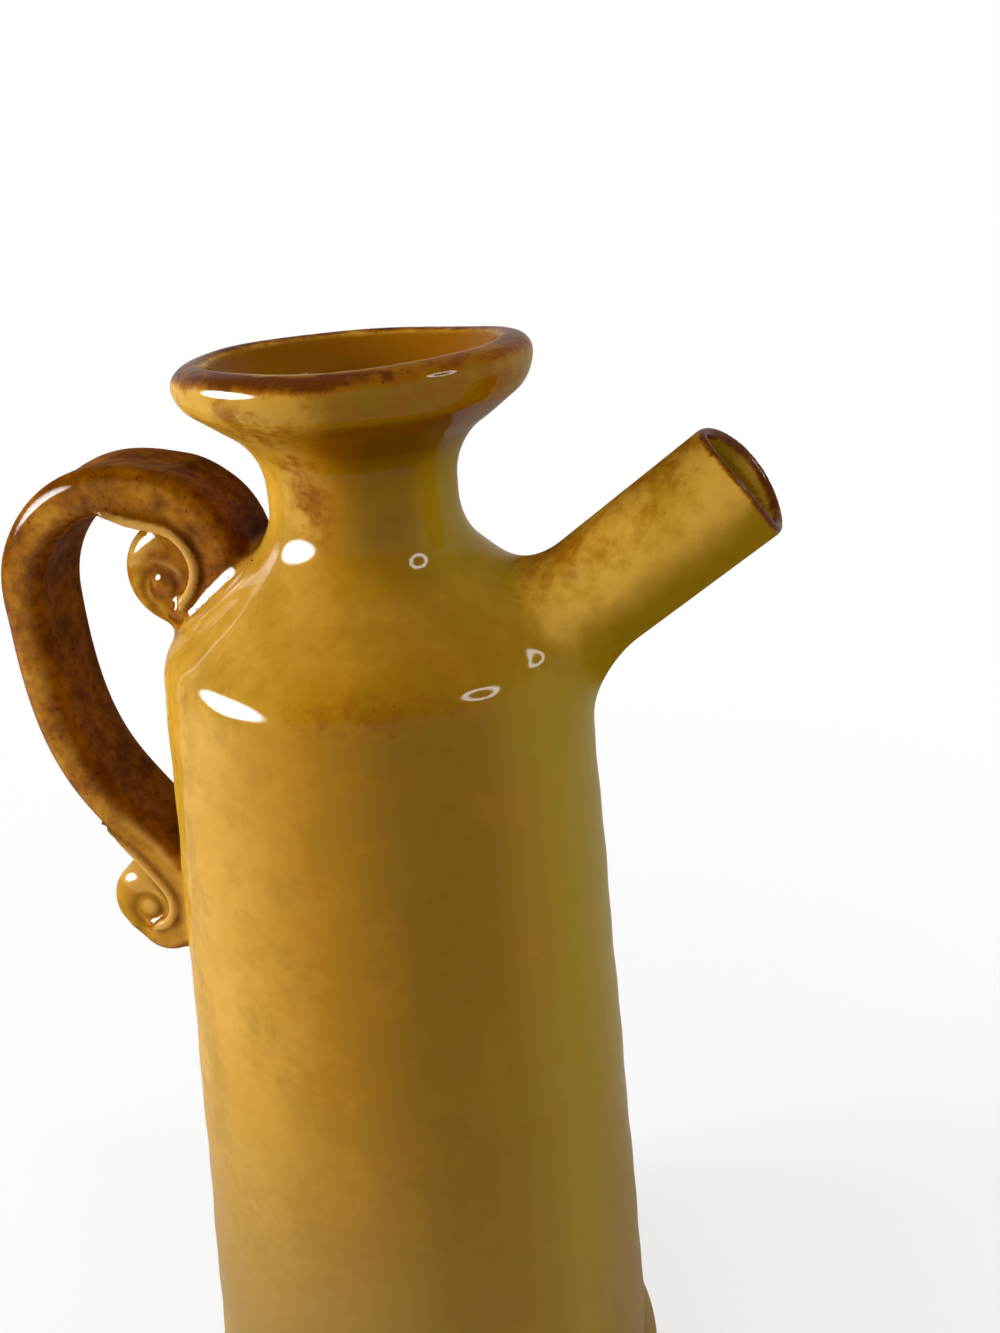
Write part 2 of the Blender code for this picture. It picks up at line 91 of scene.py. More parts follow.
THROAT_ROUND = 12.0

# Unevenness of the thrown wall. OVALS: (size, waves round the axis, phase, twist per millimetre of height)
OVALS = ((0.22, 2.0, 0.9, 0.008), (0.14, 3.0, 0.0, -0.02))
FINE_RING, FINE_RING_PITCH = 0.07, 2.6
BROAD_RING, BROAD_RING_PITCH = 0.10, 7.3
RING_SWAY = 0.5
UNEVEN_HEIGHTS = (9.0, 30.0)
UNEVEN_RADII = (5.0, 15.0)

# Lip's lean, per millimetre towards +X and +Y, and its waves: (size, waves round the axis, phase)
LIP_LEAN = (0.035, -0.035)
LEAN_START = 236.5
UNDER_LEAN, UNDER_LEAN_HEIGHTS = 0.012, (244.0, 252.0)
TOP_LEAN, TOP_LEAN_HEIGHTS = 0.022, (256.0, 262.0)
LIP_RISE = 0.20
LIP_OVAL = 0.35
LIP_WAVES = ((0.18, 3.0, 1.1), (0.12, 5.0, -0.4))
LIP_WAVE_HEIGHTS = (250.0, 258.0)

# Spout, with its ends as distances along its axis. Its tip is cut TIP_SADDLE further out at the sides.
SPOUT_ELEVATION = math.radians(39.5)
SPOUT_AXIS_HEIGHT = 177.3
SPOUT_RADIUS = 12.3
SPOUT_BORE = 8.6
SPOUT_BORE_START = 15.0
SPOUT_ROOT = 50.97
SPOUT_TIP = 98.9
TIP_MIDDLE = SPOUT_TIP - 1.3
TIP_SADDLE = 2.0
TIP_ROUND = 2.0
SPOUT_FLARE = 1.7
SPOUT_FLARE_SPAN = (SPOUT_TIP - 9.0, SPOUT_TIP + 1.0)
SPOUT_FILLET = 12.5
BORE_ROUND = 2.2
COLLAR_REACH = 8.0

# Handle, in (distance out from the pot's axis, height)
STRAP_WIDTH = 22.0
STRAP_THICKNESS = 8.8
UPPER_EYE = (40.6, 218.5)
LOWER_EYE = (58.05, 139.2)
ARCH_FROM_EYE = (10.6, 18.3)
EAR_FROM_EYE = (34.8, -8.5)
EAR_ROUNDNESS = 0.55
EAR_PULL = 42.0
LANDING_PULL = 24.0
ARCH_STEPS, EAR_STEPS, LOOP_STEPS = 10, 36, 44

# The strap's turn round each scroll's eye, with angles in degrees: turn (first, last, points), spiral (start,
# end, radius at the start, at the end, ease), tapers (thickness lost, first, last), and the angles over which
# the raised edge ends and the tail narrows
UPPER_SCROLL = {
    "turn": (277.0, 84.0, 66),
    "spiral": (84.0, 275.0, 17.4, 7.2, 1.18),
    "tapers": ((1.4, 84.0, 112.0), (4.8, 180.0, 280.0)),
    "edge_end": (254.0, 272.0),
    "tail": (236.0, 276.0),
}
LOWER_SCROLL = {
    "turn": (138.0, 306.0, 58),
    "spiral": (138.0, 318.0, 11.3, 6.3, 0.65),
    "tapers": ((6.2, 236.0, 306.0),),
    "edge_end": (236.0, 266.0),
    "tail": (232.0, 296.0),
}
UPPER_EDGE_FADE = (3.0, 16.0)
LOWER_EDGE_FADE = (8.0, 24.0)

# The strap's section: the edge that stands up inside each scroll, the swell of the arch and of its root, and
# the shallow hollow along the strap
HANDLE_MIDDLE = 180.0
EDGE_RISE = 2.2
EDGE_NARROWS = 1.2
TAIL_NARROWS = 2.9
ARCH_SWELL, ARCH_HEIGHTS = 1.1, (206.0, 224.0)
ROOT_SWELL, ROOT_SPAN = 0.9, (28.0, 46.0)
HOLLOW_DEPTH = 0.4
HOLLOW_REACH = 5.0
HOLLOW_THICKNESS = (5.0, 8.0)
STRAP_ROUNDNESS = 0.44
EDGE_SHARPENS = 0.16
BEAD_RADIUS = 1.15
BEAD_INSET = 0.15
BEAD_BLEND = 0.8
LEAST_EDGE = 0.02

# The rolls that fill the scrolls, each with a spiral groove that runs in from a first radius to a small knob
UPPER_ROLL = {"eye": (42.3, 217.3), "centre": (40.2, 219.0), "radius": 11.8, "start": 275.0, "first": 6.8}
LOWER_ROLL = {"eye": (57.8, 138.2), "centre": (58.6, 138.4), "radius": 9.4, "start": 268.0, "first": 5.4}
ROLL_HALF_WIDTH = 8.3
ROLL_ROUND = 4.6
GROOVE_DEPTH = 0.5
GROOVE_LAST = 2.8
GROOVE_EASE = 1.4
GROOVE_WIDTH, GROOVE_WIDENS = 0.75, 0.06
GROOVE_MARGIN = (0.3, 3.0)
KNOB_RADIUS = 1.8
KNOB_FLATNESS = 1.7
KNOB_MIDDLE = 7.3
KNOB_BLEND = 1.2
ROLL_BLEND = 1.8
HANDLE_FILLET = 4.5

# Sampling of the clay's shape: (where a stretch starts, step in it), finer where there is more to show
X_STRETCHES = ((-83.5, 0.6), (-27.0, 1.2), (58.0, 0.8), (86.0, None))
Y_STRETCHES = ((-60.6, 1.2), (-13.5, 0.7), (13.5, 1.2), (60.6, None))
Z_STRETCHES = (
    (-3.1, 1.1), (16.0, 3.0), (122.0, 0.65), (153.0, 1.3), (204.0, 0.65), (241.0, 0.8), (269.0, None),
)
BLOCK = 4
BLOCK_STRETCH, BLOCK_MARGIN = 1.3, 0.5
OPEN_AIR = 9.0
SAMPLES_AT_ONCE = 200000
PLACES_AT_ONCE = 20000
SETTLE_ROUNDS = 3
SETTLE_REACH = 0.7
LEAST_SLOPE = 0.25
SLOPE_STEP = 0.1
NORMAL_STEP = 0.15
CURVE_STEP = 1.6

# Where the spout and the handle are worked out at all, and the distance that stands for far from them
SPOUT_START, SPOUT_REACH = 10.0, 34.0
HANDLE_START, HANDLE_REACH, HANDLE_HEIGHTS = 16.0, 18.0, (118.0, 250.0)
AWAY = 60.0

FAR = 1e6
TINY = 1e-9
ANGLE_SLACK = 1e-6


def smooth_min(one, other, reach):
    """The union of two shapes with a fillet where they come within reach of each other."""
    near = np.maximum(reach - np.abs(one - other), 0.0) / reach
    return np.minimum(one, other) - near * near * reach / 4.0


def smooth_max(one, other, reach):
    return -smooth_min(-one, -other, reach)


def ramp(value, low, high):
    """0 below low, 1 above high and smooth between them."""
    share = np.clip((value - low) / (high - low), 0.0, 1.0)
    return share * share * (3.0 - 2.0 * share)


def band(value, middle, spread):
    """1 in the middle, fading evenly to both sides."""
    return np.exp(-(((value - middle) / spread) ** 2))


def placed(name, data):
    """An object of the scene."""
    thing = bpy.data.objects.new(name, data)
    bpy.context.scene.collection.objects.link(thing)
    return thing


# Camera

def make_camera():
    pitch, roll, yaw = (math.radians(v) for v in (CAMERA_PITCH, CAMERA_ROLL, CAMERA_YAW))
    forward = Vector((math.sin(yaw) * math.cos(pitch), math.cos(yaw) * math.cos(pitch), -math.sin(pitch)))
    level = Vector((math.cos(yaw), -math.sin(yaw), 0.0))
    above = level.cross(forward)
    right = math.cos(roll) * level + math.sin(roll) * above
    up = math.cos(roll) * above - math.sin(roll) * level
    turn = Matrix.Rotation(math.radians(CAMERA_TURN), 3, "Z")
    place = turn @ Vector((0.0, -CAMERA_DISTANCE, CAMERA_HEIGHT)) * MM
    columns = [turn @ right, turn @ up, -(turn @ forward)]
    data = bpy.data.cameras.new("camera")
    data.sensor_width = SENSOR_WIDTH
    data.lens = FOCAL_LENGTH
    data.clip_start = CLIP_START
    camera = placed("camera", data)
    camera.matrix_world = Matrix.Translation(place) @ Matrix(columns).transposed().to_4x4()
    bpy.context.scene.camera = camera


# Turned outline of the pot

def unit(vector):
    return vector / np.linalg.norm(vector)


def bend(before, after):
    """The turn from one direction to another, to the left above 0."""
    return math.atan2(before[0] * after[1] - before[1] * after[0], before @ after)


def moved_corners(corners, distance):
    """The inner corners of an outline moved to its left, with the roundings that keep their centres."""
    moved = []
    for last, corner, following in zip(corners, corners[1:], corners[2:]):
        here = np.array(corner[:2])
        before = unit(here - last[:2])
        after = unit(following[:2] - here)
        turn = bend(before, after)
        along = unit(before + after)
        place = here + distance / math.cos(turn / 2.0) * np.array((-along[1], along[0]))
        moved.append((place[0], place[1], max(0.0, corner[2] - math.copysign(distance, turn))))
    return moved


def outline_runs(corners):
    """Lines and arcs of an outline through (radius, height, rounding) corners."""
    runs = []
    start = np.array(corners[0][:2], float)
    for index in range(1, len(corners)):
        here = np.array(corners[index][:2], float)
        rounding = corners[index][2]
        if rounding <= 0.0 or index == len(corners) - 1:
            runs.append(("line", start, here))
            start = here
            continue
        before = unit(here - np.array(corners[index - 1][:2]))
        after = unit(np.array(corners[index + 1][:2]) - here)
        turn = bend(before, after)
        reach = rounding * math.tan(abs(turn) / 2.0)
        arc_start = here - before * reach
        side = math.copysign(1.0, turn)
        centre = arc_start + side * rounding * np.array((-before[1], before[0]))
        runs.append(("line", start, arc_start))
        runs.append(("arc", centre, rounding, unit(arc_start - centre), turn))
        start = here + after * reach
    return runs


def run_distance(run, r, z):
    """Distance from a line or an arc, negative on its left, where the clay is, and FAR past an arc's ends."""
    if run[0] == "line":
        start, end = run[1], run[2]
        along = end - start
        length = max(TINY, float(along @ along))
        share = np.clip(((r - start[0]) * along[0] + (z - start[1]) * along[1]) / length, 0.0, 1.0)
        off_r = r - start[0] - share * along[0]
        off_z = z - start[1] - share * along[1]
        left = along[0] * (z - start[1]) - along[1] * (r - start[0])
        return np.where(left > 0.0, -1.0, 1.0) * np.hypot(off_r, off_z)
    centre, radius, first, turn = run[1:]
    off_r = r - centre[0]
    off_z = z - centre[1]
    side = math.copysign(1.0, turn)
    angle = np.arctan2(side * (first[0] * off_z - first[1] * off_r), first[0] * off_r + first[1] * off_z)
    angle = np.where(angle < -ANGLE_SLACK, angle + 2.0 * math.pi, angle)
    distance = side * (np.hypot(off_r, off_z) - radius)
    return np.where(angle <= abs(turn) + ANGLE_SLACK, distance, FAR)


def outline_distance(runs, r, z):
    nearest = np.full(r.shape, FAR)
    for run in runs:
        distance = run_distance(run, r, z)
        nearest = np.where(np.abs(distance) < np.abs(nearest), distance, nearest)
    return nearest


def pot_runs():
    """The runs of the pot's whole wall, and of its cavity alone."""
    flare_end = FLARE_START + (LIP_RADIUS - NECK_RADIUS) * math.tan(FLARE_SLOPE)
    base = [
        (0.0, 0.0, 0.0),
        (BASE_RADIUS, 0.0, 0.0),
        (FOOT_RADIUS, FOOT_EDGE, FOOT_EDGE),
        (FOOT_RADIUS - FOOT_NARROWS, FOOT_WAIST, FOOT_ROUND),
    ]
    wall = [
        (BODY_LOW_RADIUS, FOOT_HEIGHT, FOOT_ROUND),
        (BODY_TOP_RADIUS, SHOULDER_CORNER, SHOULDER_ROUND),
        (NECK_RADIUS, NECK_LOW, NECK_LOW_ROUND),
        (NECK_RADIUS, FLARE_START, FLARE_ROUND),
    ]
    lip = [
        (LIP_RADIUS, flare_end, LIP_UNDER_ROUND),
        (LIP_RADIUS, LIP_EDGE, LIP_EDGE_ROUND),
        (LIP_CREST, LIP_TOP, LIP_TOP_ROUND),
    ]
    bore = NECK_RADIUS - WALL
    throat = (bore, LIP_TOP - (LIP_CREST - bore) * math.tan(BOWL_SLOPE), THROAT_ROUND)
    lining = moved_corners(wall, WALL)[::-1]
    down = [throat] + lining + [(BODY_LOW_RADIUS - WALL, FLOOR, FLOOR_ROUND), (0.0, FLOOR, 0.0)]
    return outline_runs(base + wall + lip + down), outline_runs(lip[-1:] + down)


WALL_RUNS, CAVITY_RUNS = pot_runs()


def thrown(points):
    """(radius, height) in the ideal outline: the wheel leaves the wall a little uneven, and the lip leans."""
    x, y, z = points[:, 0], points[:, 1], points[:, 2]
    radius = np.hypot(x, y)
    angle = np.arctan2(y, x)
    leaning = np.clip((z - LEAN_START) / (LIP_START - LEAN_START), 0.0, 1.0)
    height = z - leaning * (LIP_LEAN[0] * x + LIP_LEAN[1] * y)
    oval = sum(size * np.cos(count * angle + phase + twist * z) for size, count, phase, twist in OVALS)
    rings = FINE_RING * np.sin(z / FINE_RING_PITCH + angle)
    rings = rings + BROAD_RING * np.sin(z / BROAD_RING_PITCH - RING_SWAY * np.cos(angle))
    waves = LIP_OVAL * np.cos(2.0 * angle) + LIP_RISE
    for size, count, phase in LIP_WAVES:
        waves = waves + size * np.sin(count * angle + phase)
    on_body = ramp(z, *UNEVEN_HEIGHTS)
    on_lip = ramp(z, *LIP_WAVE_HEIGHTS)
    tilt = x * (TOP_LEAN * ramp(z, *TOP_LEAN_HEIGHTS) - UNDER_LEAN) * ramp(z, *UNDER_LEAN_HEIGHTS)
    return radius - (oval + rings) * on_body * ramp(radius, *UNEVEN_RADII), height - waves * on_lip - tilt


def spout_place(points):
    """Distance along the spout's axis and distance from it."""
    x = points[:, 0]
    z = points[:, 2] - SPOUT_AXIS_HEIGHT
    along = x * math.cos(SPOUT_ELEVATION) + z * math.sin(SPOUT_ELEVATION)
    above = z * math.cos(SPOUT_ELEVATION) - x * math.sin(SPOUT_ELEVATION)
    return along, np.hypot(points[:, 1], above)


# Handle

def bezier(points, steps):
    t = np.linspace(0.0, 1.0, steps + 1)[1:, None]
    a, b, c, d = (np.array(p, float) for p in points)
    return (1 - t) ** 3 * a + 3 * (1 - t) ** 2 * t * b + 3 * (1 - t) * t ** 2 * c + t ** 3 * d


def scroll_run(eye, turn, spiral, tapers, edge_end, tail):
    """Along the strap's turn round an eye: place, thickness, raised edge and tail."""
    angles = np.radians(np.linspace(*turn))
    start, end = np.radians(spiral[:2])
    outer, inner, ease = spiral[2:]
    share = np.clip((end - angles) / (end - start), 0.0, 1.0) ** ease
    radii = inner * (outer / inner) ** share
    places = np.stack((eye[0] + radii * np.cos(angles), eye[1] + radii * np.sin(angles)), axis=1)
    degrees = np.degrees(angles)
    thick = np.full(len(degrees), STRAP_THICKNESS)
    for lost, low, high in tapers:
        thick = thick - lost * ramp(degrees, low, high)
    return places, thick, 1.0 - ramp(degrees, *edge_end), ramp(degrees, *tail)


def handle_path():
    """Along the strap's middle line: place, thickness, raised edge (negative on the loop's side) and tail."""
    upper, upper_thick, upper_edge, upper_tail = scroll_run(UPPER_EYE, **UPPER_SCROLL)
    lower, lower_thick, lower_edge, lower_tail = scroll_run(LOWER_EYE, **LOWER_SCROLL)
    start, landing = upper[-1], lower[0]
    leaving = unit(start - upper[-2])
    arriving = unit(lower[1] - landing)
    arch = np.array(UPPER_EYE) + ARCH_FROM_EYE
    ear = np.array(UPPER_EYE) + EAR_FROM_EYE
    third = np.linalg.norm(arch - start) / 3.0
    ear_out = (EAR_ROUNDNESS * (ear[0] - arch[0]), 0.0)
    ear_up = (0.0, EAR_ROUNDNESS * (arch[1] - ear[1]))
    middle = np.concatenate((
        bezier((start, start + third * leaving, arch - (third, 0.0), arch), ARCH_STEPS),
        bezier((arch, arch + ear_out, ear + ear_up, ear), EAR_STEPS),
        bezier((ear, ear - (0.0, EAR_PULL), landing - LANDING_PULL * arriving, landing), LOOP_STEPS),
    ))[:-1]
    gone = np.linalg.norm(middle - start, axis=1)
    left = np.linalg.norm(middle - landing, axis=1)
    edge = 1.0 - ramp(left, *LOWER_EDGE_FADE) - (1.0 - ramp(gone, *UPPER_EDGE_FADE))
    plain = np.zeros(len(middle))
    return np.column_stack((
        np.concatenate((upper, middle, lower)),
        np.concatenate((upper_thick, plain + STRAP_THICKNESS, lower_thick)),
        np.concatenate((-upper_edge, edge, lower_edge)),
        np.concatenate((upper_tail, plain, lower_tail)),
    ))


PATH = handle_path()


def along_path(u, z):
    """Signed distance from the strap's middle line, and its thickness, raised edge and tail there."""
    pairs, back = np.unique(np.stack((u, z), axis=1), axis=0, return_inverse=True)
    found = np.empty((len(pairs), 4))
    start = PATH[:-1]
    change = np.diff(PATH, axis=0)
    length = change[:, 0] ** 2 + change[:, 1] ** 2
    for first in range(0, len(pairs), PLACES_AT_ONCE):
        part = slice(first, first + PLACES_AT_ONCE)
        off_u = pairs[part, :1] - start[:, 0]
        off_z = pairs[part, 1:] - start[:, 1]
        share = np.clip((off_u * change[:, 0] + off_z * change[:, 1]) / length, 0.0, 1.0)
        gap = np.hypot(off_u - share * change[:, 0], off_z - share * change[:, 1])
        best = np.argmin(gap - 0.5 * (start[:, 2] + share * change[:, 2]), axis=1)
        rows = np.arange(len(best))
        turn = change[best, 0] * off_z[rows, best] - change[best, 1] * off_u[rows, best]
        found[part, 0] = np.sign(turn) * gap[rows, best]
        found[part, 1:] = start[best, 2:] + share[rows, best, None] * change[best, 2:]
    return found[back.ravel()].T


def rounded_box(one, other, rounding):
    """Distance from a box, given the distances past its two pairs of faces, with rounded edges."""
    one = one + rounding
    other = other + rounding
    outside = np.hypot(np.maximum(one, 0.0), np.maximum(other, 0.0))
    return outside + np.minimum(np.maximum(one, other), 0.0) - rounding


def strap_distance(u, y, z):
    """The strap: rounded edges, a shallow hollow along it, and an edge that stands up inside each scroll."""
    side, thick, rim, tail = along_path(u, z)
    across = np.abs(y)
    edge = np.abs(rim)
    added = EDGE_RISE * edge * (z > HANDLE_MIDDLE) * (1.0 - tail)
    raised = ARCH_SWELL * ramp(z, *ARCH_HEIGHTS) * (1.0 - tail)
    raised = raised + ROOT_SWELL * (z > ARCH_HEIGHTS[0]) * (1.0 - ramp(u, *ROOT_SPAN))
    side = side - 0.5 * added * np.sign(rim) - 0.5 * raised
    half = 0.5 * (thick + added + raised)
    hollow = HOLLOW_DEPTH * np.exp(-((y / HOLLOW_REACH) ** 2))
    hollow = hollow * ramp(thick, *HOLLOW_THICKNESS) * (side * rim <= 0.0)
    half_width = 0.5 * STRAP_WIDTH - EDGE_NARROWS * edge - TAIL_NARROWS * tail
    rounding = (STRAP_ROUNDNESS - EDGE_SHARPENS * edge) * thick
    bar = rounded_box(np.abs(side) - half + hollow, across - half_width, rounding)
    inner = np.sign(rim) * side - half + BEAD_RADIUS
    bead = np.hypot(inner, across - half_width + BEAD_INSET) - BEAD_RADIUS * edge
    return np.where(edge > LEAST_EDGE, smooth_min(bar, bead, BEAD_BLEND), bar)


def roll_distance(u, y, z, eye, centre, radius, start, first):
    """The strap's rolled end: a disc with rounded edges and a faint spiral that runs in to a small eye."""
    across = np.abs(y)
    reach = np.hypot(u - centre[0], z - centre[1])
    from_eye = np.hypot(u - eye[0], z - eye[1])
    turned = (np.arctan2(z - eye[1], u - eye[0]) - math.radians(start)) % (2.0 * math.pi)
    groove = np.zeros(len(u))
    for turn in (-1, 0, 1):
        at = GROOVE_LAST + (first - GROOVE_LAST) * np.exp(-(turned + 2.0 * math.pi * turn) / GROOVE_EASE)
        groove = np.maximum(groove, band(from_eye, at, GROOVE_WIDTH + GROOVE_WIDENS * at))
    groove = GROOVE_DEPTH * groove * ramp(radius - reach, *GROOVE_MARGIN)
    disc = rounded_box(reach - radius, across - ROLL_HALF_WIDTH + groove, ROLL_ROUND)
    knob = np.hypot(from_eye, KNOB_FLATNESS * (across - KNOB_MIDDLE)) - KNOB_RADIUS
    return smooth_min(disc, knob, KNOB_BLEND)


def members(points):
    """Distances from the pot's wall, the spout, the strap and the two rolls, without their fillets."""
    radius, height = thrown(points)
    wall = outline_distance(WALL_RUNS, radius, height)
    along, off_axis = spout_place(points)
    spout, strap, upper, lower = (np.full(len(points), AWAY) for _ in range(4))
    x, y, z = points.T
    near = (x > 0.0) & (off_axis < SPOUT_REACH) & (along > SPOUT_START)
    if near.any():
        cut = TIP_MIDDLE + TIP_SADDLE * (y[near] / SPOUT_RADIUS) ** 2
        bar = rounded_box(off_axis[near] - SPOUT_RADIUS, along[near] - cut, TIP_ROUND)
        hole = outline_distance(CAVITY_RUNS, radius[near], height[near])
        spout[near] = np.maximum(bar, hole)
    low, high = HANDLE_HEIGHTS
    near = (x < -HANDLE_START) & (np.abs(y) < HANDLE_REACH) & (z > low) & (z < high)
    if near.any():
        place = -x[near], y[near], z[near]
        strap[near] = strap_distance(*place)
        upper[near] = roll_distance(*place, **UPPER_ROLL)
        lower[near] = roll_distance(*place, **LOWER_ROLL)
    return wall, spout, strap, upper, lower


def clay(points, parts=None):
    """Distance from the cruet's surface, negative in the clay."""
    wall, spout, strap, upper, lower = members(points) if parts is None else parts
    along, off_axis = spout_place(points)
    solid = smooth_min(wall, spout, SPOUT_FILLET)
    flare = SPOUT_FLARE * ramp(along, *SPOUT_FLARE_SPAN)
    bore = np.maximum(off_axis - SPOUT_BORE - flare, SPOUT_BORE_START - along)
    solid = smooth_max(solid, -bore, BORE_ROUND)
    handle = smooth_min(smooth_min(strap, upper, ROLL_BLEND), lower, ROLL_BLEND)
    return smooth_min(solid, handle, HANDLE_FILLET)


# Pieces

PIECES = (
    "foot", "body", "shoulder", "neck", "lip",
    "spout", "spout_collar", "handle_strap", "upper_scroll", "lower_scroll",
)
NUMBERS = {name: number for number, name in enumerate(PIECES, start=1)}


def piece_numbers(points, parts):
    """Which piece a point of the clay belongs to, counted from 1."""
    wall = parts[0]
    along, _ = spout_place(points)
    number = 1 + np.searchsorted((FOOT_HEIGHT, BODY_TOP, NECK_START, LIP_START), points[:, 2])
    nearest = np.where(wall > 0.0, np.argmin(np.stack(parts), axis=0), 0)
    collar = along < SPOUT_ROOT + COLLAR_REACH
    number = np.where(nearest == 1, np.where(collar, NUMBERS["spout_collar"], NUMBERS["spout"]), number)
    for member, name in enumerate(("handle_strap", "upper_scroll", "lower_scroll"), start=2):
        number = np.where(nearest == member, NUMBERS[name], number)
    return number


def spaced(stretches):
    """Sampling planes along one axis, even in each stretch."""
    planes = [np.array((stretches[0][0],))]
    for (low, step), (high, _) in zip(stretches, stretches[1:]):
        count = round((high - low) / step)
        planes.append(low + (high - low) * np.arange(1, count + 1) / count)
    return np.concatenate(planes)


def blocks(planes):
    """Middles and half sizes of runs of BLOCK sampling planes, and which run each plane is in."""
    starts = np.arange(0, len(planes), BLOCK)
    ends = np.minimum(starts + BLOCK, len(planes) - 1)
    middles = 0.5 * (planes[starts] + planes[ends])
    return middles, 0.5 * (planes[ends] - planes[starts]), np.arange(len(planes)) // BLOCK


def sampled(steps):
    """Distance and piece number at every sampling point, but for the blocks that are clear of the clay."""
    middles, halves, runs = zip(*(blocks(planes) for planes in steps))
    coarse = np.stack(np.meshgrid(*middles, indexing="ij"), axis=-1)
    reach = np.sqrt(sum(size ** 2 for size in np.meshgrid(*halves, indexing="ij")))
    clear = clay(coarse.reshape(-1, 3)).reshape(reach.shape) > BLOCK_STRETCH * reach + BLOCK_MARGIN
    near = ~clear[np.ix_(*runs)]
    at = np.argwhere(near)
    distance = np.full(near.shape, OPEN_AIR, np.float32)
    number = np.zeros(near.shape, np.int8)
    for first in range(0, len(at), SAMPLES_AT_ONCE):
        here = tuple(at[first:first + SAMPLES_AT_ONCE].T)
        points = np.stack([planes[index] for planes, index in zip(steps, here)], axis=1)
        parts = members(points)
        away = clay(points, parts)
        distance[here] = away
        number[here] = np.where(away < 0.0, piece_numbers(points, parts), 0)
    return distance, number


def stepped(points, axis, step):
    """The clay's distance a step further along an axis."""
    return clay(points + step * np.eye(3)[axis])


def slopes(points, step):
    """Gradient of the clay's distance, from differences over a step."""
    pairs = [(stepped(points, axis, step), stepped(points, axis, -step)) for axis in range(3)]
    return np.stack([(beyond - before) / (2.0 * step) for beyond, before in pairs], axis=1)


def skin(steps, distance, number):
    """Net of points and faces between samples of different pieces, with the open air as piece 0."""
    shape = np.array(number.shape)
    cells = shape - 1
    total = int(np.prod(cells))
    sums = np.zeros((2, total, 3))
    counts = np.zeros((2, total))
    faces, fronts, backs = [], [], []
    for axis in range(3):
        at = np.argwhere(np.diff(number, axis=axis))
        beyond = at + np.roll((1, 0, 0), axis)
        label_one, label_other = (number[tuple(ends.T)] for ends in (at, beyond))
        d_one, d_other = (distance[tuple(ends.T)].astype(float) for ends in (at, beyond))
        surface = (label_one == 0) | (label_other == 0)
        share = np.where(surface, d_one / np.where(surface, d_one - d_other, 1.0), 0.5)
        places = np.stack([steps[k][at[:, k]] for k in range(3)], axis=1)
        places[:, axis] += share * (steps[axis][beyond[:, axis]] - places[:, axis])
        quad = [
            np.ravel_multi_index(tuple((at + np.roll(shift, axis)).T), tuple(cells))
            for shift in ((0, -1, -1), (0, 0, -1), (0, 0, 0), (0, -1, 0))
        ]
        for corner in quad:
            for kind, chosen in enumerate((surface, ~surface)):
                counts[kind] += np.bincount(corner[chosen], minlength=total)
                for k in range(3):
                    sums[kind, :, k] += np.bincount(corner[chosen], places[chosen, k], minlength=total)
        faces.append(np.stack(quad, axis=1))
        backs.append(label_one)
        fronts.append(label_other)
    faces, fronts, backs = (np.concatenate(part) for part in (faces, fronts, backs))
    used = np.unique(faces)
    compact = np.full(total, -1)
    compact[used] = np.arange(len(used))
    outer = counts[0, used] > 0
    points = np.where(
        outer[:, None],
        sums[0, used] / np.maximum(counts[0, used], 1)[:, None],
        sums[1, used] / np.maximum(counts[1, used], 1)[:, None],
    )
    return points, compact[faces], fronts, backs, outer


def settle(points, outer):
    """Moves the outer points of the net onto the clay's surface."""
    moving = points[outer]
    for _ in range(SETTLE_ROUNDS):
        gradient = slopes(moving, SLOPE_STEP)
        size = np.maximum(np.einsum("ij,ij->i", gradient, gradient), LEAST_SLOPE)
        step = np.clip(clay(moving) / size, -SETTLE_REACH, SETTLE_REACH)
        moving = moving - gradient * step[:, None]
    points[outer] = moving
    return points


def roundness(points, step):
    """How sharply the surface curves, per millimetre: above 0 on an edge and below 0 in a corner."""
    around = -6.0 * clay(points)
    for axis in range(3):
        for offset in (-step, step):
            around = around + stepped(points, axis, offset)
    return around / step ** 2


# Where the glaze changes, with painted shade and a painted highlight among it. Azimuths are degrees from the
# spout's side. A SECTOR is (start, full, fade, end), a BAND is (height, spread), a SPAN is the two ends of a
# ramp, a SPOT is (share, height, spread, azimuth and its spread), and three numbers are a patch: (share,
# azimuth, spread).
ON_SPOUT_SPAN, SPOUT_GLAZE_START = (-3.0, 3.0), 40.0
ON_HANDLE_SPAN = (-1.5, 2.0)
INSIDE_SPAN = (0.0, 0.5)
UP_COUNTS, UP_REACH = 0.6, 45.0
CAVITY_REACH, UNDERSIDE = 52.0, 3.0
BORE_REACH, BORE_SPAN = SPOUT_BORE + 1.0, (30.0, SPOUT_TIP - 1.0)
LIP_SPAN = (252.0, 256.0)
NECK_REACH = 32.0
TURN_REACH = 36.0
AMBER_SECTOR = (-120.0, -82.0, 60.0, 110.0)
AMBER_BACK = (0.5, 150.0, 18.0)
AMBER_LEAST = 0.10
AMBER_SPOT = (0.25, 216.0, 12.0, -125.0, 25.0)
AMBER_LOSS, AMBER_LOSS_BAND, AMBER_LIP_LOSS = 0.45, (219.0, 9.0), 0.5
# The deep sector is darkest on the front turned away from the window lamp: partly the glaze's own tone,
# partly painted shade
DEEP_AND_SHADE_SECTOR = (-94.0, -64.0, -50.0, -22.0)
DEEP_BACK = (0.5, 118.0, 18.0)
DEEP_SHOULDER, DEEP_SHOULDER_LOW, DEEP_SHOULDER_HIGH = 0.45, (200.0, 210.0), (224.0, 233.0)
DEEP_LIP, DEEP_LIP_SECTOR = 0.8, (-92.0, -62.0, 20.0, 60.0)
DEEP_ROOT, DEEP_ROOT_SPAN = 0.45, (1.0, 14.0)
RUN_SHARE, RUNS_END = 0.45, (196.0, 204.0)
HIGH_RUN, HIGH_RUN_SPAN = (-34.0, 2.6), (50.0, 120.0)
LOW_RUN, LOW_RUN_SPAN = (-40.0, 3.4), (90.0, 130.0)
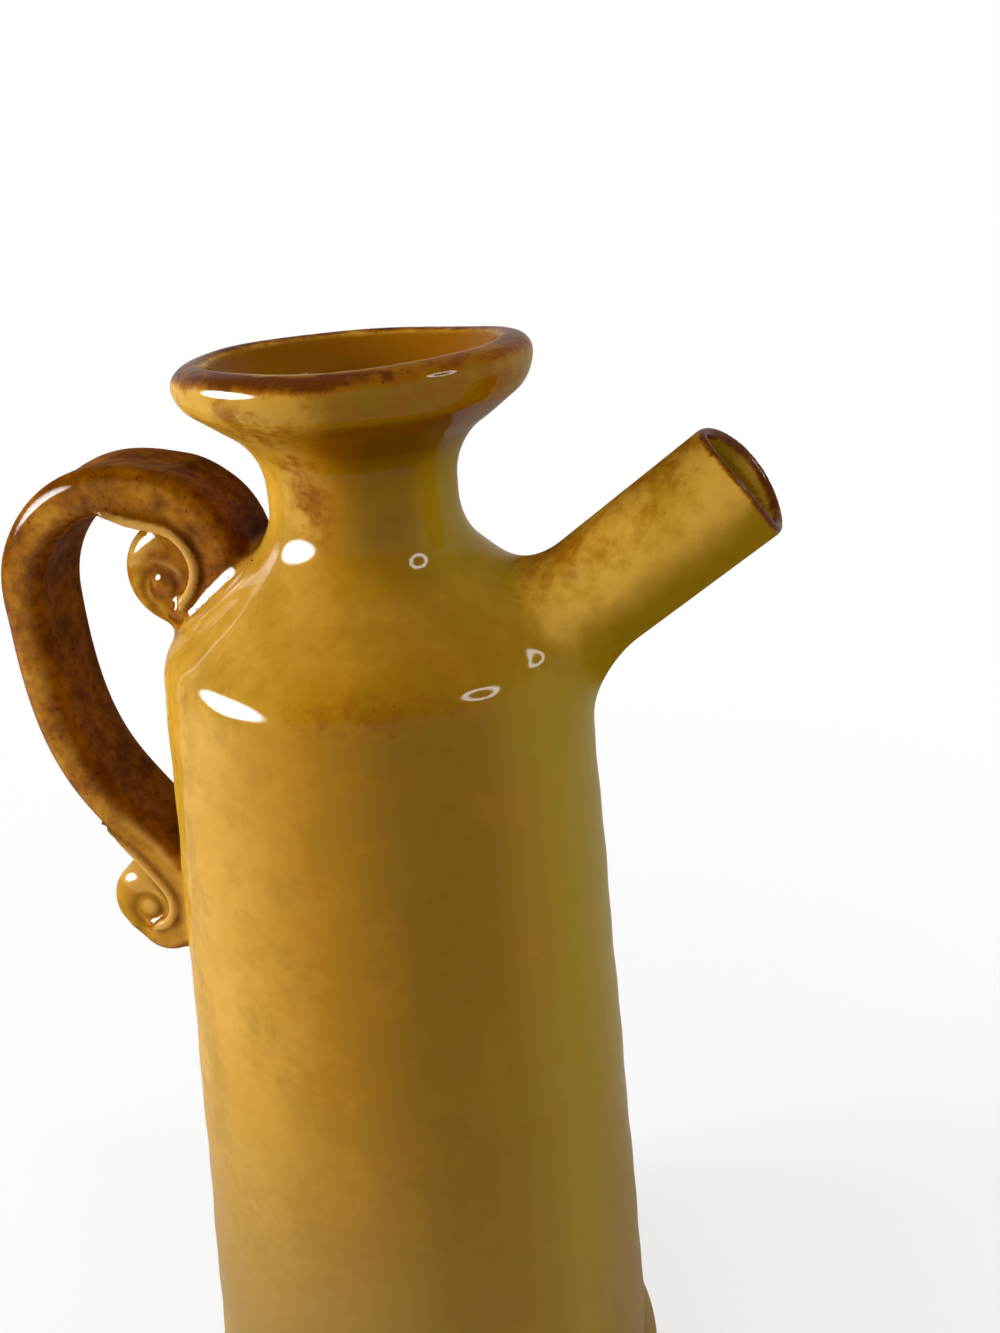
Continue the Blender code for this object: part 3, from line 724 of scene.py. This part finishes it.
RUN_SWAYS = ((1.5, 31.0), (0.8, 12.0))
OLIVE_SECTOR = (-56.0, -18.0, 70.0, 120.0)
OLIVE_LOSS, OLIVE_LOSS_BAND, OLIVE_LIP_LOSS = 0.7, (214.0, 9.0), 0.7
ASH_SPAN = (40.0, 140.0)
ASH_LOSS, ASH_LOSS_SECTOR = 0.65, (-88.0, -62.0, -40.0, -10.0)
INSIDE_DRY = 0.5
NECK_DRY, NECK_DRY_BAND = 0.4, (241.0, 9.0)

# Iron line along the lip, by the angle round the lip's bead, in degrees from outward to upward
BEAD_MIDDLE = (31.0, 259.6)
LINE_OUTER = (4.0, 46.0)
LINE_INNER, LINE_INNER_FADE = 86.0, (-10.0, 12.0)
LINE_WIDENS, LINE_NARROW = 34.0, (-75.0, 55.0)
LINE_SHARE, LINE_DARK, LINE_PALE = 0.84, (0.14, -90.0, 34.0), (0.30, -34.0, 30.0)
LIP_STAIN, LIP_STAIN_FRONT = 0.17, (0.16, -42.0, 34.0)
LIP_STAIN_SPAN = (250.0, 254.0)

# Iron stain on the rest of the wall
TURN_STAIN, TURN_STAIN_FRONT, TURN_STAIN_BAND = 0.06, (0.28, -72.0, 17.0), (SHOULDER_CORNER, 3.2)
NECK_SPOTS = ((0.40, 238.5, 7.0, -103.0, 13.0), (0.30, 250.0, 6.0, -105.0, 14.0))
ROOT_SPOTS = ((0.30, 212.0, 9.0, -15.0, 9.0), (0.28, 208.0, 9.0, -167.0, 22.0))
FRONT_STAIN, FRONT_SECTOR, FRONT_SPAN = 0.03, (-150.0, -125.0, -85.0, -55.0), (40.0, 120.0)

# Glaze that pools in the corners, and a darker band under the lip that is partly pooled glaze and partly
# painted shade
WALL_POOLING, SPOUT_LESS, HANDLE_LESS = 2.0, 1.6, 0.9
POOL_AND_SHADE_REACH = 33.0
POOL_AND_SHADE_FRONT_BAND, POOL_AND_SHADE_FRONT = (251.5, 6.0), (-98.0, -78.0, -30.0, 10.0)
POOL_AND_SHADE_SHARE, POOL_AND_SHADE_BAND = 0.35, (253.0, 6.0)
TURN_POOL = (0.5, SHOULDER_CORNER, 3.6, -74.0, 20.0)

# Spout: the iron on its tip, its upper side and a ring across it, and the shares of its two sides, the lower
# side painted darker and more olive as shade
TIP_STAIN_SPAN = (SPOUT_TIP - 3.4, SPOUT_TIP - 2.4)
SPOUT_STAIN, UPPER_STAIN, RING_STAIN, RING_BAND = 0.09, 0.26, 0.10, (62.0, 7.0)
UNDER_SHADE_SPAN = (-0.15, 0.75)
UPPER_AMBER, UNDER_SHADE, UNDER_SHADE_OLIVE = 0.45, 0.95, 0.35
BORE_OLIVE, BORE_INSIDE = 0.6, 0.7

# Handle: the iron on its faces and on its narrow sides, above and below, and on the rolls
BROAD_SPAN = (0.30, 0.90)
NEAR_POT_SPAN = (1.0, 9.0)
LOW_SPAN = (150.0, 172.0)
SIDE_STAIN, SIDE_NEAR_POT, SIDE_LOW = 0.50, 0.10, 0.36
FACE_STAIN, FACE_LOW = 0.24, 0.22
ROLL_STAIN, ROLL_LOW, ROLL_OUTER, ROLL_SPAN = 0.58, 0.46, 0.20, (4.0, 9.0)
HANDLE_AMBER = 0.8
ROLL_DRY, FACE_DRY = 0.38, 0.8
# Raised edges in the scrolls are lighter: partly thinner glaze, partly a painted highlight
CREST_SHARE = 2.2

# How far down the wall the foot's bare ring reaches, and its waves: (size, waves round the axis)
BARE_SPAN = (1.2, 1.8)
BARE_WAVES = ((0.5, 5.0), (0.3, 13.0))


def azimuth_band(angle, middle, spread):
    """A band round the pot's axis, with its middle and spread in degrees."""
    off = (angle - middle + 180.0) % 360.0 - 180.0
    return np.exp(-((off / spread) ** 2))


def sector(angle, start, full, fade, end):
    """0 up to start, 1 from full to fade and 0 from end on, in degrees turned from start."""
    off = (angle - start) % 360.0
    return ramp(off, 0.0, full - start) * (1.0 - ramp(off, fade - start, end - start))


def patch(angle, share, middle, spread):
    return share * azimuth_band(angle, middle, spread)


def spot(angle, z, share, height, reach, middle, spread):
    return share * band(z, height, reach) * azimuth_band(angle, middle, spread)


def lip_stain(angle, radius, height):
    """The iron brown line that breaks along the lip, just outside its crest."""
    bead = np.degrees(np.arctan2(height - BEAD_MIDDLE[1], radius - BEAD_MIDDLE[0]))
    inner = LINE_INNER + LINE_WIDENS * (1.0 - azimuth_band(angle, *LINE_NARROW))
    fade_low, fade_high = LINE_INNER_FADE
    share = ramp(bead, *LINE_OUTER) * (1.0 - ramp(bead, inner + fade_low, inner + fade_high))
    share = share * (LINE_SHARE + patch(angle, *LINE_DARK) - patch(angle, *LINE_PALE))
    return np.maximum(share, LIP_STAIN + patch(angle, *LIP_STAIN_FRONT))


def wall_stain(angle, radius, z):
    """Iron stain on the shoulder's turn, on the neck, and beside the handle and the spout."""
    turn = band(z, *TURN_STAIN_BAND) * (TURN_STAIN + patch(angle, *TURN_STAIN_FRONT)) * (radius > TURN_REACH)
    neck = sum(spot(angle, z, *values) for values in NECK_SPOTS) * (radius < NECK_REACH)
    roots = sum(spot(angle, z, *values) for values in ROOT_SPOTS)
    return turn + neck + roots + FRONT_STAIN * sector(angle, *FRONT_SECTOR) * ramp(z, *FRONT_SPAN)


def wall_glaze(points, radius, height, spout_away, inside):
    """Glaze of the pot's wall: its tones, one of them partly painted shade, its iron stain, and where it is
    dry.
    """
    x, y, z = points.T
    angle = np.degrees(np.arctan2(y, x))
    outside = 1.0 - inside
    on_lip = ramp(z, *LIP_SPAN)
    amber = sector(angle, *AMBER_SECTOR) + patch(angle, *AMBER_BACK)
    amber = amber * (1.0 - AMBER_LOSS * band(z, *AMBER_LOSS_BAND)) * (1.0 - AMBER_LIP_LOSS * on_lip)
    amber = amber + AMBER_LEAST + spot(angle, z, *AMBER_SPOT)

    off_shoulder = np.maximum(1.0 - ramp(z, *DEEP_SHOULDER_LOW), ramp(z, *DEEP_SHOULDER_HIGH))
    shoulder = DEEP_SHOULDER + (1.0 - DEEP_SHOULDER) * off_shoulder
    deep_and_shade = shoulder * sector(angle, *DEEP_AND_SHADE_SECTOR) + patch(angle, *DEEP_BACK)
    sway = sum(size * np.sin(z / pitch) for size, pitch in RUN_SWAYS)
    runs = azimuth_band(angle + sway, *HIGH_RUN) * ramp(z, *HIGH_RUN_SPAN)
    runs = runs + azimuth_band(angle - sway, *LOW_RUN) * (1.0 - ramp(z, *LOW_RUN_SPAN))
    deep_and_shade = deep_and_shade + RUN_SHARE * runs * (1.0 - ramp(z, *RUNS_END))
    deep_and_shade = deep_and_shade + DEEP_LIP * on_lip * sector(angle, *DEEP_LIP_SECTOR)
    deep_and_shade = deep_and_shade + DEEP_ROOT * (1.0 - ramp(spout_away, *DEEP_ROOT_SPAN)) * (y < 0.0)

    olive = sector(angle, *OLIVE_SECTOR) * (1.0 - OLIVE_LOSS * band(z, *OLIVE_LOSS_BAND))
    olive = olive * (1.0 - OLIVE_LIP_LOSS * on_lip)
    stain = lip_stain(angle, radius, height) * ramp(z, *LIP_STAIN_SPAN)
    return {
        "amber": np.clip(amber, 0.0, 1.0),
        "deep_and_shade": np.clip(deep_and_shade, 0.0, 1.0),
        "olive": np.clip(olive, 0.0, 1.0),
        "ash": (1.0 - ramp(z, *ASH_SPAN)) * (1.0 - ASH_LOSS * sector(angle, *ASH_LOSS_SECTOR)),
        "stain": stain + wall_stain(angle, radius, z) * outside,
        "dry": INSIDE_DRY * inside + NECK_DRY * band(z, *NECK_DRY_BAND) * (radius < NECK_REACH) * outside,
    }


def spout_glaze(points, normals, along):
    """Glaze of the spout: an iron brown tip, a pale upper side, and a lower side painted darker and more
    olive as shade.
    """
    tip = ramp(along - TIP_SADDLE * (points[:, 1] / SPOUT_RADIUS) ** 2, *TIP_STAIN_SPAN)
    upward = normals[:, 2] * math.cos(SPOUT_ELEVATION) - normals[:, 0] * math.sin(SPOUT_ELEVATION)
    upper = np.maximum(upward, 0.0) ** 2
    # Painted shade: the spout's underside is made darker and more olive
    under = ramp(-upward, *UNDER_SHADE_SPAN)
    stain = SPOUT_STAIN + UPPER_STAIN * upper + RING_STAIN * band(along, *RING_BAND) * upper
    return {
        "amber": UPPER_AMBER * upper,
        "deep_and_shade": UNDER_SHADE * under,
        "olive": UNDER_SHADE_OLIVE * under,
        "stain": np.maximum(stain, tip),
        "dry": 1.0 - tip,
    }


def handle_glaze(points, parts, broad):
    """Glaze of the handle: iron brown above, paler below, in the rolls and on the narrow sides."""
    x, _, z = points.T
    low = 1.0 - ramp(z, *LOW_SPAN)
    near_pot = 1.0 - ramp(parts[0], *NEAR_POT_SPAN)
    strap = SIDE_STAIN + SIDE_NEAR_POT * near_pot * (1.0 - low) - SIDE_LOW * low
    strap = strap + (FACE_STAIN + FACE_LOW * low) * broad
    from_eye = np.hypot(x + UPPER_EYE[0], z - UPPER_EYE[1])
    roll = ROLL_STAIN - ROLL_LOW * low - ROLL_OUTER * ramp(from_eye, *ROLL_SPAN)
    rolls = np.min(parts[3:], axis=0) < parts[2]
    return {
        "amber": HANDLE_AMBER,
        "stain": np.where(rolls, roll, strap),
        "dry": np.where(rolls, ROLL_DRY, FACE_DRY * broad),
    }


def glaze_map(points, normals, curve):
    """How the glaze varies over the cruet, along with painted shade and a painted highlight: from 0 to 1 but
    for olive, which may pass 1.
    """
    x, y, z = points.T
    radius, height = thrown(points)
    angle = np.degrees(np.arctan2(y, x))
    parts = np.stack(members(points))
    along, off_axis = spout_place(points)
    on_spout = ramp(parts[0] - parts[1], *ON_SPOUT_SPAN) * (along > SPOUT_GLAZE_START)
    on_handle = ramp(parts[0] - np.min(parts[2:], axis=0), *ON_HANDLE_SPAN)
    on_pot = 1.0 - np.maximum(on_spout, on_handle)
    outward = (normals[:, 0] * x + normals[:, 1] * y) / np.maximum(radius, 1.0)
    inward = -outward - UP_COUNTS * normals[:, 2] * (radius < UP_REACH)
    inside = ramp(inward, *INSIDE_SPAN) * (radius < CAVITY_REACH) * (z > UNDERSIDE) * on_pot
    side, thick, rim, _ = along_path(-x, z)
    broad = ramp(2.0 * np.abs(side) / thick, *BROAD_SPAN)
    bore = (off_axis < BORE_REACH) * (along > BORE_SPAN[0]) * (along < BORE_SPAN[1])

    layers = (
        (on_pot, wall_glaze(points, radius, height, parts[1], inside)),
        (on_spout, spout_glaze(points, normals, along)),
        (on_handle, handle_glaze(points, parts, broad)),
    )
    tint = {}
    for name in ("amber", "deep_and_shade", "olive", "ash", "stain", "dry"):
        tint[name] = np.clip(sum(share * layer.get(name, 0.0) for share, layer in layers), 0.0, 1.0)
    tint["olive"] = tint["olive"] + BORE_OLIVE * bore
    tint["inside"] = np.maximum(inside, BORE_INSIDE * bore)

    pooling = WALL_POOLING - SPOUT_LESS * on_spout - HANDLE_LESS * on_handle
    # The band under the lip darkens it: partly pooled glaze, partly painted shade
    collar = band(z, *POOL_AND_SHADE_FRONT_BAND) * sector(angle, *POOL_AND_SHADE_FRONT) + POOL_AND_SHADE_SHARE * band(z, *POOL_AND_SHADE_BAND)
    turned = spot(angle, z, *TURN_POOL) * (radius > TURN_REACH)
    pool_and_shade = (collar * (radius < POOL_AND_SHADE_REACH) + turned) * (1.0 - inside) - pooling * curve
    tint["pool_and_shade"] = np.clip(pool_and_shade, 0.0, 1.0)
    loop_face = broad * (side * rim < 0.0)
    # Painted highlight, with thinner glaze, on the raised edges in the scrolls
    tint["crest"] = np.clip(CREST_SHARE * curve, 0.0, 1.0) * np.abs(rim) * (1.0 - loop_face) * on_handle
    bare_height = z + sum(size * np.sin(np.radians(count * angle)) for size, count in BARE_WAVES)
    tint["bare"] = 1.0 - ramp(bare_height, *BARE_SPAN)
    return tint


def make_pieces(material):
    steps = [spaced(stretches) for stretches in (X_STRETCHES, Y_STRETCHES, Z_STRETCHES)]
    distance, owners = sampled(steps)
    points, faces, fronts, backs, outer = skin(steps, distance, owners)
    points = settle(points, outer)
    normals = np.tile((0.0, 0.0, 1.0), (len(points), 1))
    normals[outer] = slopes(points[outer], NORMAL_STEP)
    normals /= np.maximum(np.linalg.norm(normals, axis=1), TINY)[:, None]
    curve = np.zeros(len(points))
    curve[outer] = np.clip(roundness(points[outer], CURVE_STEP), -1.0, 1.0)
    tint = glaze_map(points, normals, curve)
    for name, number in NUMBERS.items():
        own = np.concatenate((faces[backs == number], faces[fronts == number][:, ::-1]))
        kept, numbers = np.unique(own, return_inverse=True)
        mesh = bpy.data.meshes.new(name + "_glazed")
        mesh.from_pydata((points[kept] * MM).tolist(), [], numbers.reshape(own.shape).tolist())
        mesh.shade_smooth()
        mesh.normals_split_custom_set_from_vertices(normals[kept].tolist())
        for label, values in tint.items():
            attribute = mesh.attributes.new(label, "FLOAT", "POINT")
            attribute.data.foreach_set("value", values[kept].astype(np.float32))
        mesh.materials.append(material)
        piece = placed(name + "_glazed", mesh)
        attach(piece, "root")
        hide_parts(name)
        print(name, len(kept), "points", len(own), "faces")


# Glaze

class Nodes:
    """Short ways to add shader nodes to one tree."""

    def __init__(self, tree):
        self.tree = tree

    def add(self, kind, inputs=(), **settings):
        node = self.tree.nodes.new(kind)
        for key, value in settings.items():
            setattr(node, key, value)
        for key, value in dict(inputs).items():
            if isinstance(value, bpy.types.NodeSocket):
                self.tree.links.new(value, node.inputs[key])
            else:
                node.inputs[key].default_value = value
        return node

    def math(self, operation, one, other=0.0, clamp=False):
        return self.add("ShaderNodeMath", {0: one, 1: other}, operation=operation, use_clamp=clamp).outputs[0]

    def plus(self, one, other):
        return self.math("ADD", one, other)

    def times(self, one, other):
        return self.math("MULTIPLY", one, other)

    def ramp(self, value, low, high, to_low=0.0, to_high=1.0):
        values = {"Value": value, "From Min": low, "From Max": high, "To Min": to_low, "To Max": to_high}
        return self.add("ShaderNodeMapRange", values, interpolation_type="SMOOTHSTEP").outputs["Result"]

    def mix(self, factor, one, other, blend="MIX"):
        values = {0: factor, 6: one, 7: other}
        return self.add("ShaderNodeMix", values, data_type="RGBA", blend_type=blend).outputs[2]

    def noise(self, place, scale, detail, roughness):
        values = {"Vector": place, "Scale": scale, "Detail": detail, "Roughness": roughness}
        return self.add("ShaderNodeTexNoise", values).outputs["Fac"]

    def value(self, name):
        return self.add("ShaderNodeAttribute", attribute_name=name).outputs["Fac"]


# Palette, in linear colour
HONEY = (0.495, 0.264, 0.023, 1.0)
HONEY_PALE = (0.520, 0.296, 0.038, 1.0)
AMBER = (0.368, 0.160, 0.001, 1.0)
# Deep tone: darker glaze, and painted shade on the side away from the window and under the spout
DEEP_AND_SHADE = (0.226, 0.108, 0.000, 1.0)
OLIVE = (0.308, 0.203, 0.007, 1.0)
ASH = (0.280, 0.165, 0.030, 1.0)
RUSSET = (0.250, 0.080, 0.000, 1.0)
BROWN = (0.096, 0.022, 0.000, 1.0)
SPECK = (0.045, 0.016, 0.002, 1.0)
INNER = (0.215, 0.076, 0.000, 1.0)
# Lighter tone for thinner glaze on edges, also a painted highlight on the scrolls' raised edges
THIN_GLAZE_AND_HIGHLIGHT = (0.600, 0.340, 0.075, 1.0)
# Darkening for glaze pooled in corners, and painted shade under the lip
POOLED_AND_SHADED = (0.56, 0.40, 0.30, 1.0)
BISCUIT = (0.560, 0.330, 0.190, 1.0)
BISCUIT_DARK = (0.420, 0.230, 0.130, 1.0)

# Glaze's noises: (scale, detail, roughness); STREAK is drawn out along the height
LARGE = (26.0, 3.0, 0.55)
MEDIUM = (95.0, 4.0, 0.55)
MOTTLE = (330.0, 4.0, 0.65)
GRAIN = (1100.0, 2.0, 0.55)
STREAK = (105.0, 4.0, 0.6)
STREAK_SQUEEZE = (1.0, 1.0, 0.09)
RIPPLE = (62.0, 1.0, 0.55)
SPECK_SCALE = 520.0
SPECKS_IN_STAIN = 0.65
SPECK_STRENGTH, POOL_AND_SHADE_STRENGTH, CREST_STRENGTH = 0.65, 0.9, 0.8

# Glaze's surface: the body under the coat is matt, and the coat over it mirrors
ROUGHNESS = (0.22, 0.38)
BARE_ROUGHER = 0.5
COAT_WEIGHT = 0.25
COAT_ROUGHNESS = 0.065
DRY_DULLS = 0.92
BODY_BUMP = {"Strength": 0.35, "Distance": 0.0005}
COAT_BUMP = {"Strength": 0.30, "Distance": 0.0009}


def new_material(name):
    """A material, with its node tree and the tree's shader. The shader mirrors nothing by itself."""
    material = bpy.data.materials.new(name)
    material.use_nodes = True
    shader = material.node_tree.nodes["Principled BSDF"]
    shader.inputs["Specular IOR Level"].default_value = 0.0
    return material, material.node_tree, shader


def mottled(nodes, place, large, medium, mottle):
    """The glaze's tones, one over another, each pushed about by the noises."""
    drawn = nodes.add("ShaderNodeMapping", {"Vector": place, "Scale": STREAK_SQUEEZE}).outputs["Vector"]
    streak = nodes.noise(drawn, *STREAK)
    drift = nodes.ramp(streak, 0.30, 0.72, -0.07, 0.09)
    drift = nodes.plus(drift, nodes.ramp(large, 0.32, 0.68, -0.08, 0.08))
    fine = nodes.ramp(mottle, 0.25, 0.80, -0.05, 0.06)
    fine = nodes.plus(fine, nodes.ramp(medium, 0.3, 0.7, -0.11, 0.11))
    cloud = nodes.plus(drift, fine)
    base = nodes.mix(nodes.ramp(large, 0.38, 0.62), HONEY, HONEY_PALE)
    # The deep tone is partly painted shade
    for name, tone in (("amber", AMBER), ("deep_and_shade", DEEP_AND_SHADE), ("olive", OLIVE)):
        base = nodes.mix(nodes.math("ADD", nodes.value(name), cloud, clamp=True), base, tone)
    base = nodes.mix(nodes.value("ash"), base, ASH)
    base = nodes.mix(nodes.ramp(mottle, 0.25, 0.80, 0.0, 0.14), base, RUSSET)
    return nodes.mix(nodes.value("inside"), base, INNER)


def stain_strength(nodes, stain, dry, medium, mottle):
    """The iron stain with its edges broken up, less so where there is little of it and where it is dry."""
    blotch = nodes.ramp(mottle, 0.28, 0.72, -0.20, 0.20)
    blotch = nodes.plus(nodes.ramp(medium, 0.28, 0.72, -0.16, 0.16), blotch)
    blotch = nodes.times(blotch, nodes.ramp(stain, 0.0, 0.2, 0.35, 1.0))
    blotch = nodes.times(blotch, nodes.ramp(dry, 0.0, 1.0, 1.0, 0.6))
    return nodes.plus(stain, blotch)


def speck_strength(nodes, place, stain, stained, medium):
    """Dark dots in some cells of a pattern, in more of them where there is more stain."""
    cells = nodes.add("ShaderNodeTexVoronoi", {"Vector": place, "Scale": SPECK_SCALE})
    spots = nodes.ramp(cells.outputs["Distance"], 0.10, 0.26, 1.0, 0.0)
    chosen = nodes.add("ShaderNodeSeparateColor", {"Color": cells.outputs["Color"]}).outputs[0]
    share = nodes.plus(nodes.ramp(medium, 0.55, 0.80, 0.0, 0.05), nodes.times(stain, SPECKS_IN_STAIN))
    spots = nodes.times(spots, nodes.math("LESS_THAN", chosen, share))
    return nodes.times(spots, nodes.ramp(stained, 0.2, 0.5))


def glaze_material():
    material, tree, shader = new_material("honey_glaze")
    nodes = Nodes(tree)
    place = nodes.add("ShaderNodeTexCoord").outputs["Object"]
    large, medium, mottle = (nodes.noise(place, *values) for values in (LARGE, MEDIUM, MOTTLE))
    stain, dry, bare = (nodes.value(name) for name in ("stain", "dry", "bare"))
    stained = stain_strength(nodes, stain, dry, medium, mottle)
    spots = speck_strength(nodes, place, stain, stained, medium)

    base = mottled(nodes, place, large, medium, mottle)
    base = nodes.mix(nodes.ramp(stained, 0.10, 0.60, 0.0, 0.95), base, RUSSET)
    base = nodes.mix(nodes.ramp(stained, 0.46, 0.98), base, BROWN)
    base = nodes.mix(nodes.times(spots, SPECK_STRENGTH), base, SPECK)
    # Darker where glaze pools in corners, and painted shade under the lip
    pooled_and_shaded = nodes.mix(1.0, base, POOLED_AND_SHADED, "MULTIPLY")
    base = nodes.mix(nodes.times(nodes.value("pool_and_shade"), POOL_AND_SHADE_STRENGTH), base, pooled_and_shaded)
    # Painted highlight, with thinner glaze, on the scrolls' raised edges
    base = nodes.mix(nodes.times(nodes.value("crest"), CREST_STRENGTH), base, THIN_GLAZE_AND_HIGHLIGHT)
    base = nodes.mix(bare, base, nodes.mix(nodes.ramp(mottle, 0.35, 0.7), BISCUIT, BISCUIT_DARK))
    tree.links.new(base, shader.inputs["Base Color"])

    rough = nodes.ramp(mottle, 0.3, 0.7, *ROUGHNESS)
    rough = nodes.plus(rough, nodes.times(bare, BARE_ROUGHER))
    tree.links.new(rough, shader.inputs["Roughness"])
    dull = nodes.math("MAXIMUM", bare, nodes.times(dry, DRY_DULLS))
    tree.links.new(nodes.ramp(dull, 0.0, 1.0, COAT_WEIGHT, 0.0), shader.inputs["Coat Weight"])
    shader.inputs["Coat Roughness"].default_value = COAT_ROUGHNESS

    grain = nodes.noise(place, *GRAIN)
    rise = nodes.plus(nodes.times(mottle, 0.5), nodes.times(grain, 0.2))
    rise = nodes.math("SUBTRACT", rise, nodes.times(spots, 0.25))
    under = nodes.add("ShaderNodeBump", {"Height": rise, **BODY_BUMP})
    tree.links.new(under.outputs["Normal"], shader.inputs["Normal"])
    waves = nodes.plus(nodes.noise(place, *RIPPLE), nodes.times(spots, -0.05))
    over = nodes.add("ShaderNodeBump", {"Height": waves, **COAT_BUMP})
    tree.links.new(over.outputs["Normal"], shader.inputs["Coat Normal"])
    return material


# Stage and light

FLOOR_SIZE = 6.0
FLOOR_GREY = (0.88, 0.88, 0.88, 1.0)
FLOOR_ROUGHNESS = 0.9
WHITE = (1.0, 1.0, 1.0, 1.0)
LAMP_AIM = (0.0, 0.0, 0.2)

# Lamps: (name, (azimuth, elevation), distance, size, watts, where it is dark and bright, shape, lights the
# clay). A glint shows in reflections alone. In one plane, it and its lamp would hide each other in some.
LAMPS = (
    ("window", (-157.0, 16.5), 1.0, (0.74, 0.42), 34.0, (0.50, 0.10), "RECTANGLE", True),
    ("glint", (-157.0, 16.5), 1.02, (0.94, 0.54), 260.0, (0.50, 0.24), "RECTANGLE", False),
    ("ring", (-12.0, 38.5), 0.8, (0.265, 0.265), 3.2, (0.28, 0.36), "DISK", True),
    ("ring_glint", (-12.0, 38.5), 0.79, (0.265, 0.265), 2.4, (0.28, 0.36), "DISK", False),
)


def seen_directly(nodes):
    """1 for what the camera sees, and 1 for what a reflection or a refraction sees."""
    path = nodes.add("ShaderNodeLightPath").outputs
    return path["Is Camera Ray"], nodes.math("MAXIMUM", path["Is Glossy Ray"], path["Is Transmission Ray"])


def make_stage():
    """A white floor that keeps the cruet's shadow and fades into the white background."""
    corners = [(FLOOR_SIZE * x, FLOOR_SIZE * y, 0.0) for x, y in ((-1, -1), (1, -1), (1, 1), (-1, 1))]
    mesh = bpy.data.meshes.new("floor")
    mesh.from_pydata(corners, [], [(0, 1, 2, 3)])
    material, tree, shader = new_material("floor_white")
    nodes = Nodes(tree)
    shader.inputs["Base Color"].default_value = FLOOR_GREY
    shader.inputs["Roughness"].default_value = FLOOR_ROUGHNESS
    place = nodes.add("ShaderNodeTexCoord").outputs["Object"]
    reach = nodes.add("ShaderNodeVectorMath", {0: place}, operation="LENGTH").outputs["Value"]
    camera, mirrored = seen_directly(nodes)
    plain = nodes.times(nodes.ramp(reach, 0.06, 0.45, 0.65, 1.0), camera)
    fade = nodes.math("MAXIMUM", plain, nodes.times(nodes.ramp(reach, 0.3, 1.2), mirrored))
    white = nodes.add("ShaderNodeEmission", {"Color": WHITE, "Strength": 1.0})
    mixed = nodes.add("ShaderNodeMixShader", {0: fade, 1: shader.outputs[0], 2: white.outputs[0]})
    tree.links.new(mixed.outputs[0], tree.nodes["Material Output"].inputs["Surface"])
    mesh.materials.append(material)
    floor = placed("floor", mesh)


def add_lamp(name, direction, distance, size, power, shade, shape, lights_clay):
    """An area lamp that faces the cruet's shoulder, shaded between two shares of its size."""
    turn, rise = (math.radians(angle) for angle in direction)
    out = Vector((math.cos(turn) * math.cos(rise), math.sin(turn) * math.cos(rise), math.sin(rise)))
    data = bpy.data.lights.new(name, "AREA")
    data.energy = power
    data.shape = shape
    data.size, data.size_y = size
    data.use_nodes = True
    nodes = Nodes(data.node_tree)
    place = nodes.add("ShaderNodeNewGeometry").outputs["Parametric"]
    off = nodes.add("ShaderNodeVectorMath", {0: place, 1: (0.5, 0.5, 0.0)}, operation="DISTANCE")
    strength = nodes.ramp(off.outputs["Value"], *shade)
    data.node_tree.links.new(strength, data.node_tree.nodes["Emission"].inputs["Strength"])
    lamp = placed(name, data)
    lamp.location = Vector(LAMP_AIM) + distance * out
    lamp.rotation_euler = (-out).to_track_quat("-Z", "Y").to_euler()
    lamp.visible_camera = False
    lamp.visible_diffuse = lights_clay


def make_world():
    """A dim sky that lights the cruet, and a brighter one for the camera and for reflections."""
    world = bpy.data.worlds.new("world")
    bpy.context.scene.world = world
    world.use_nodes = True
    tree = world.node_tree
    nodes = Nodes(tree)
    place = nodes.add("ShaderNodeTexCoord").outputs["Generated"]
    rise = nodes.add("ShaderNodeSeparateXYZ", {0: place}).outputs["Z"]
    dim = tree.nodes["Background"]
    dim.inputs["Color"].default_value = WHITE
    tree.links.new(nodes.ramp(rise, -0.2, 0.95, 0.10, 0.62), dim.inputs["Strength"])
    bright = nodes.add("ShaderNodeBackground", {"Strength": nodes.ramp(rise, 0.25, 0.60, 1.0, 0.30)})
    bright.inputs["Color"].default_value = WHITE
    direct = nodes.math("MAXIMUM", *seen_directly(nodes))
    mixed = nodes.add("ShaderNodeMixShader", {0: direct, 1: dim.outputs[0], 2: bright.outputs[0]})
    tree.links.new(mixed.outputs[0], tree.nodes["World Output"].inputs["Surface"])


make_camera()
make_pieces(glaze_material())
make_stage()
make_world()
for lamp in LAMPS:
    add_lamp(*lamp)
bpy.context.scene.view_settings.view_transform = "Standard"
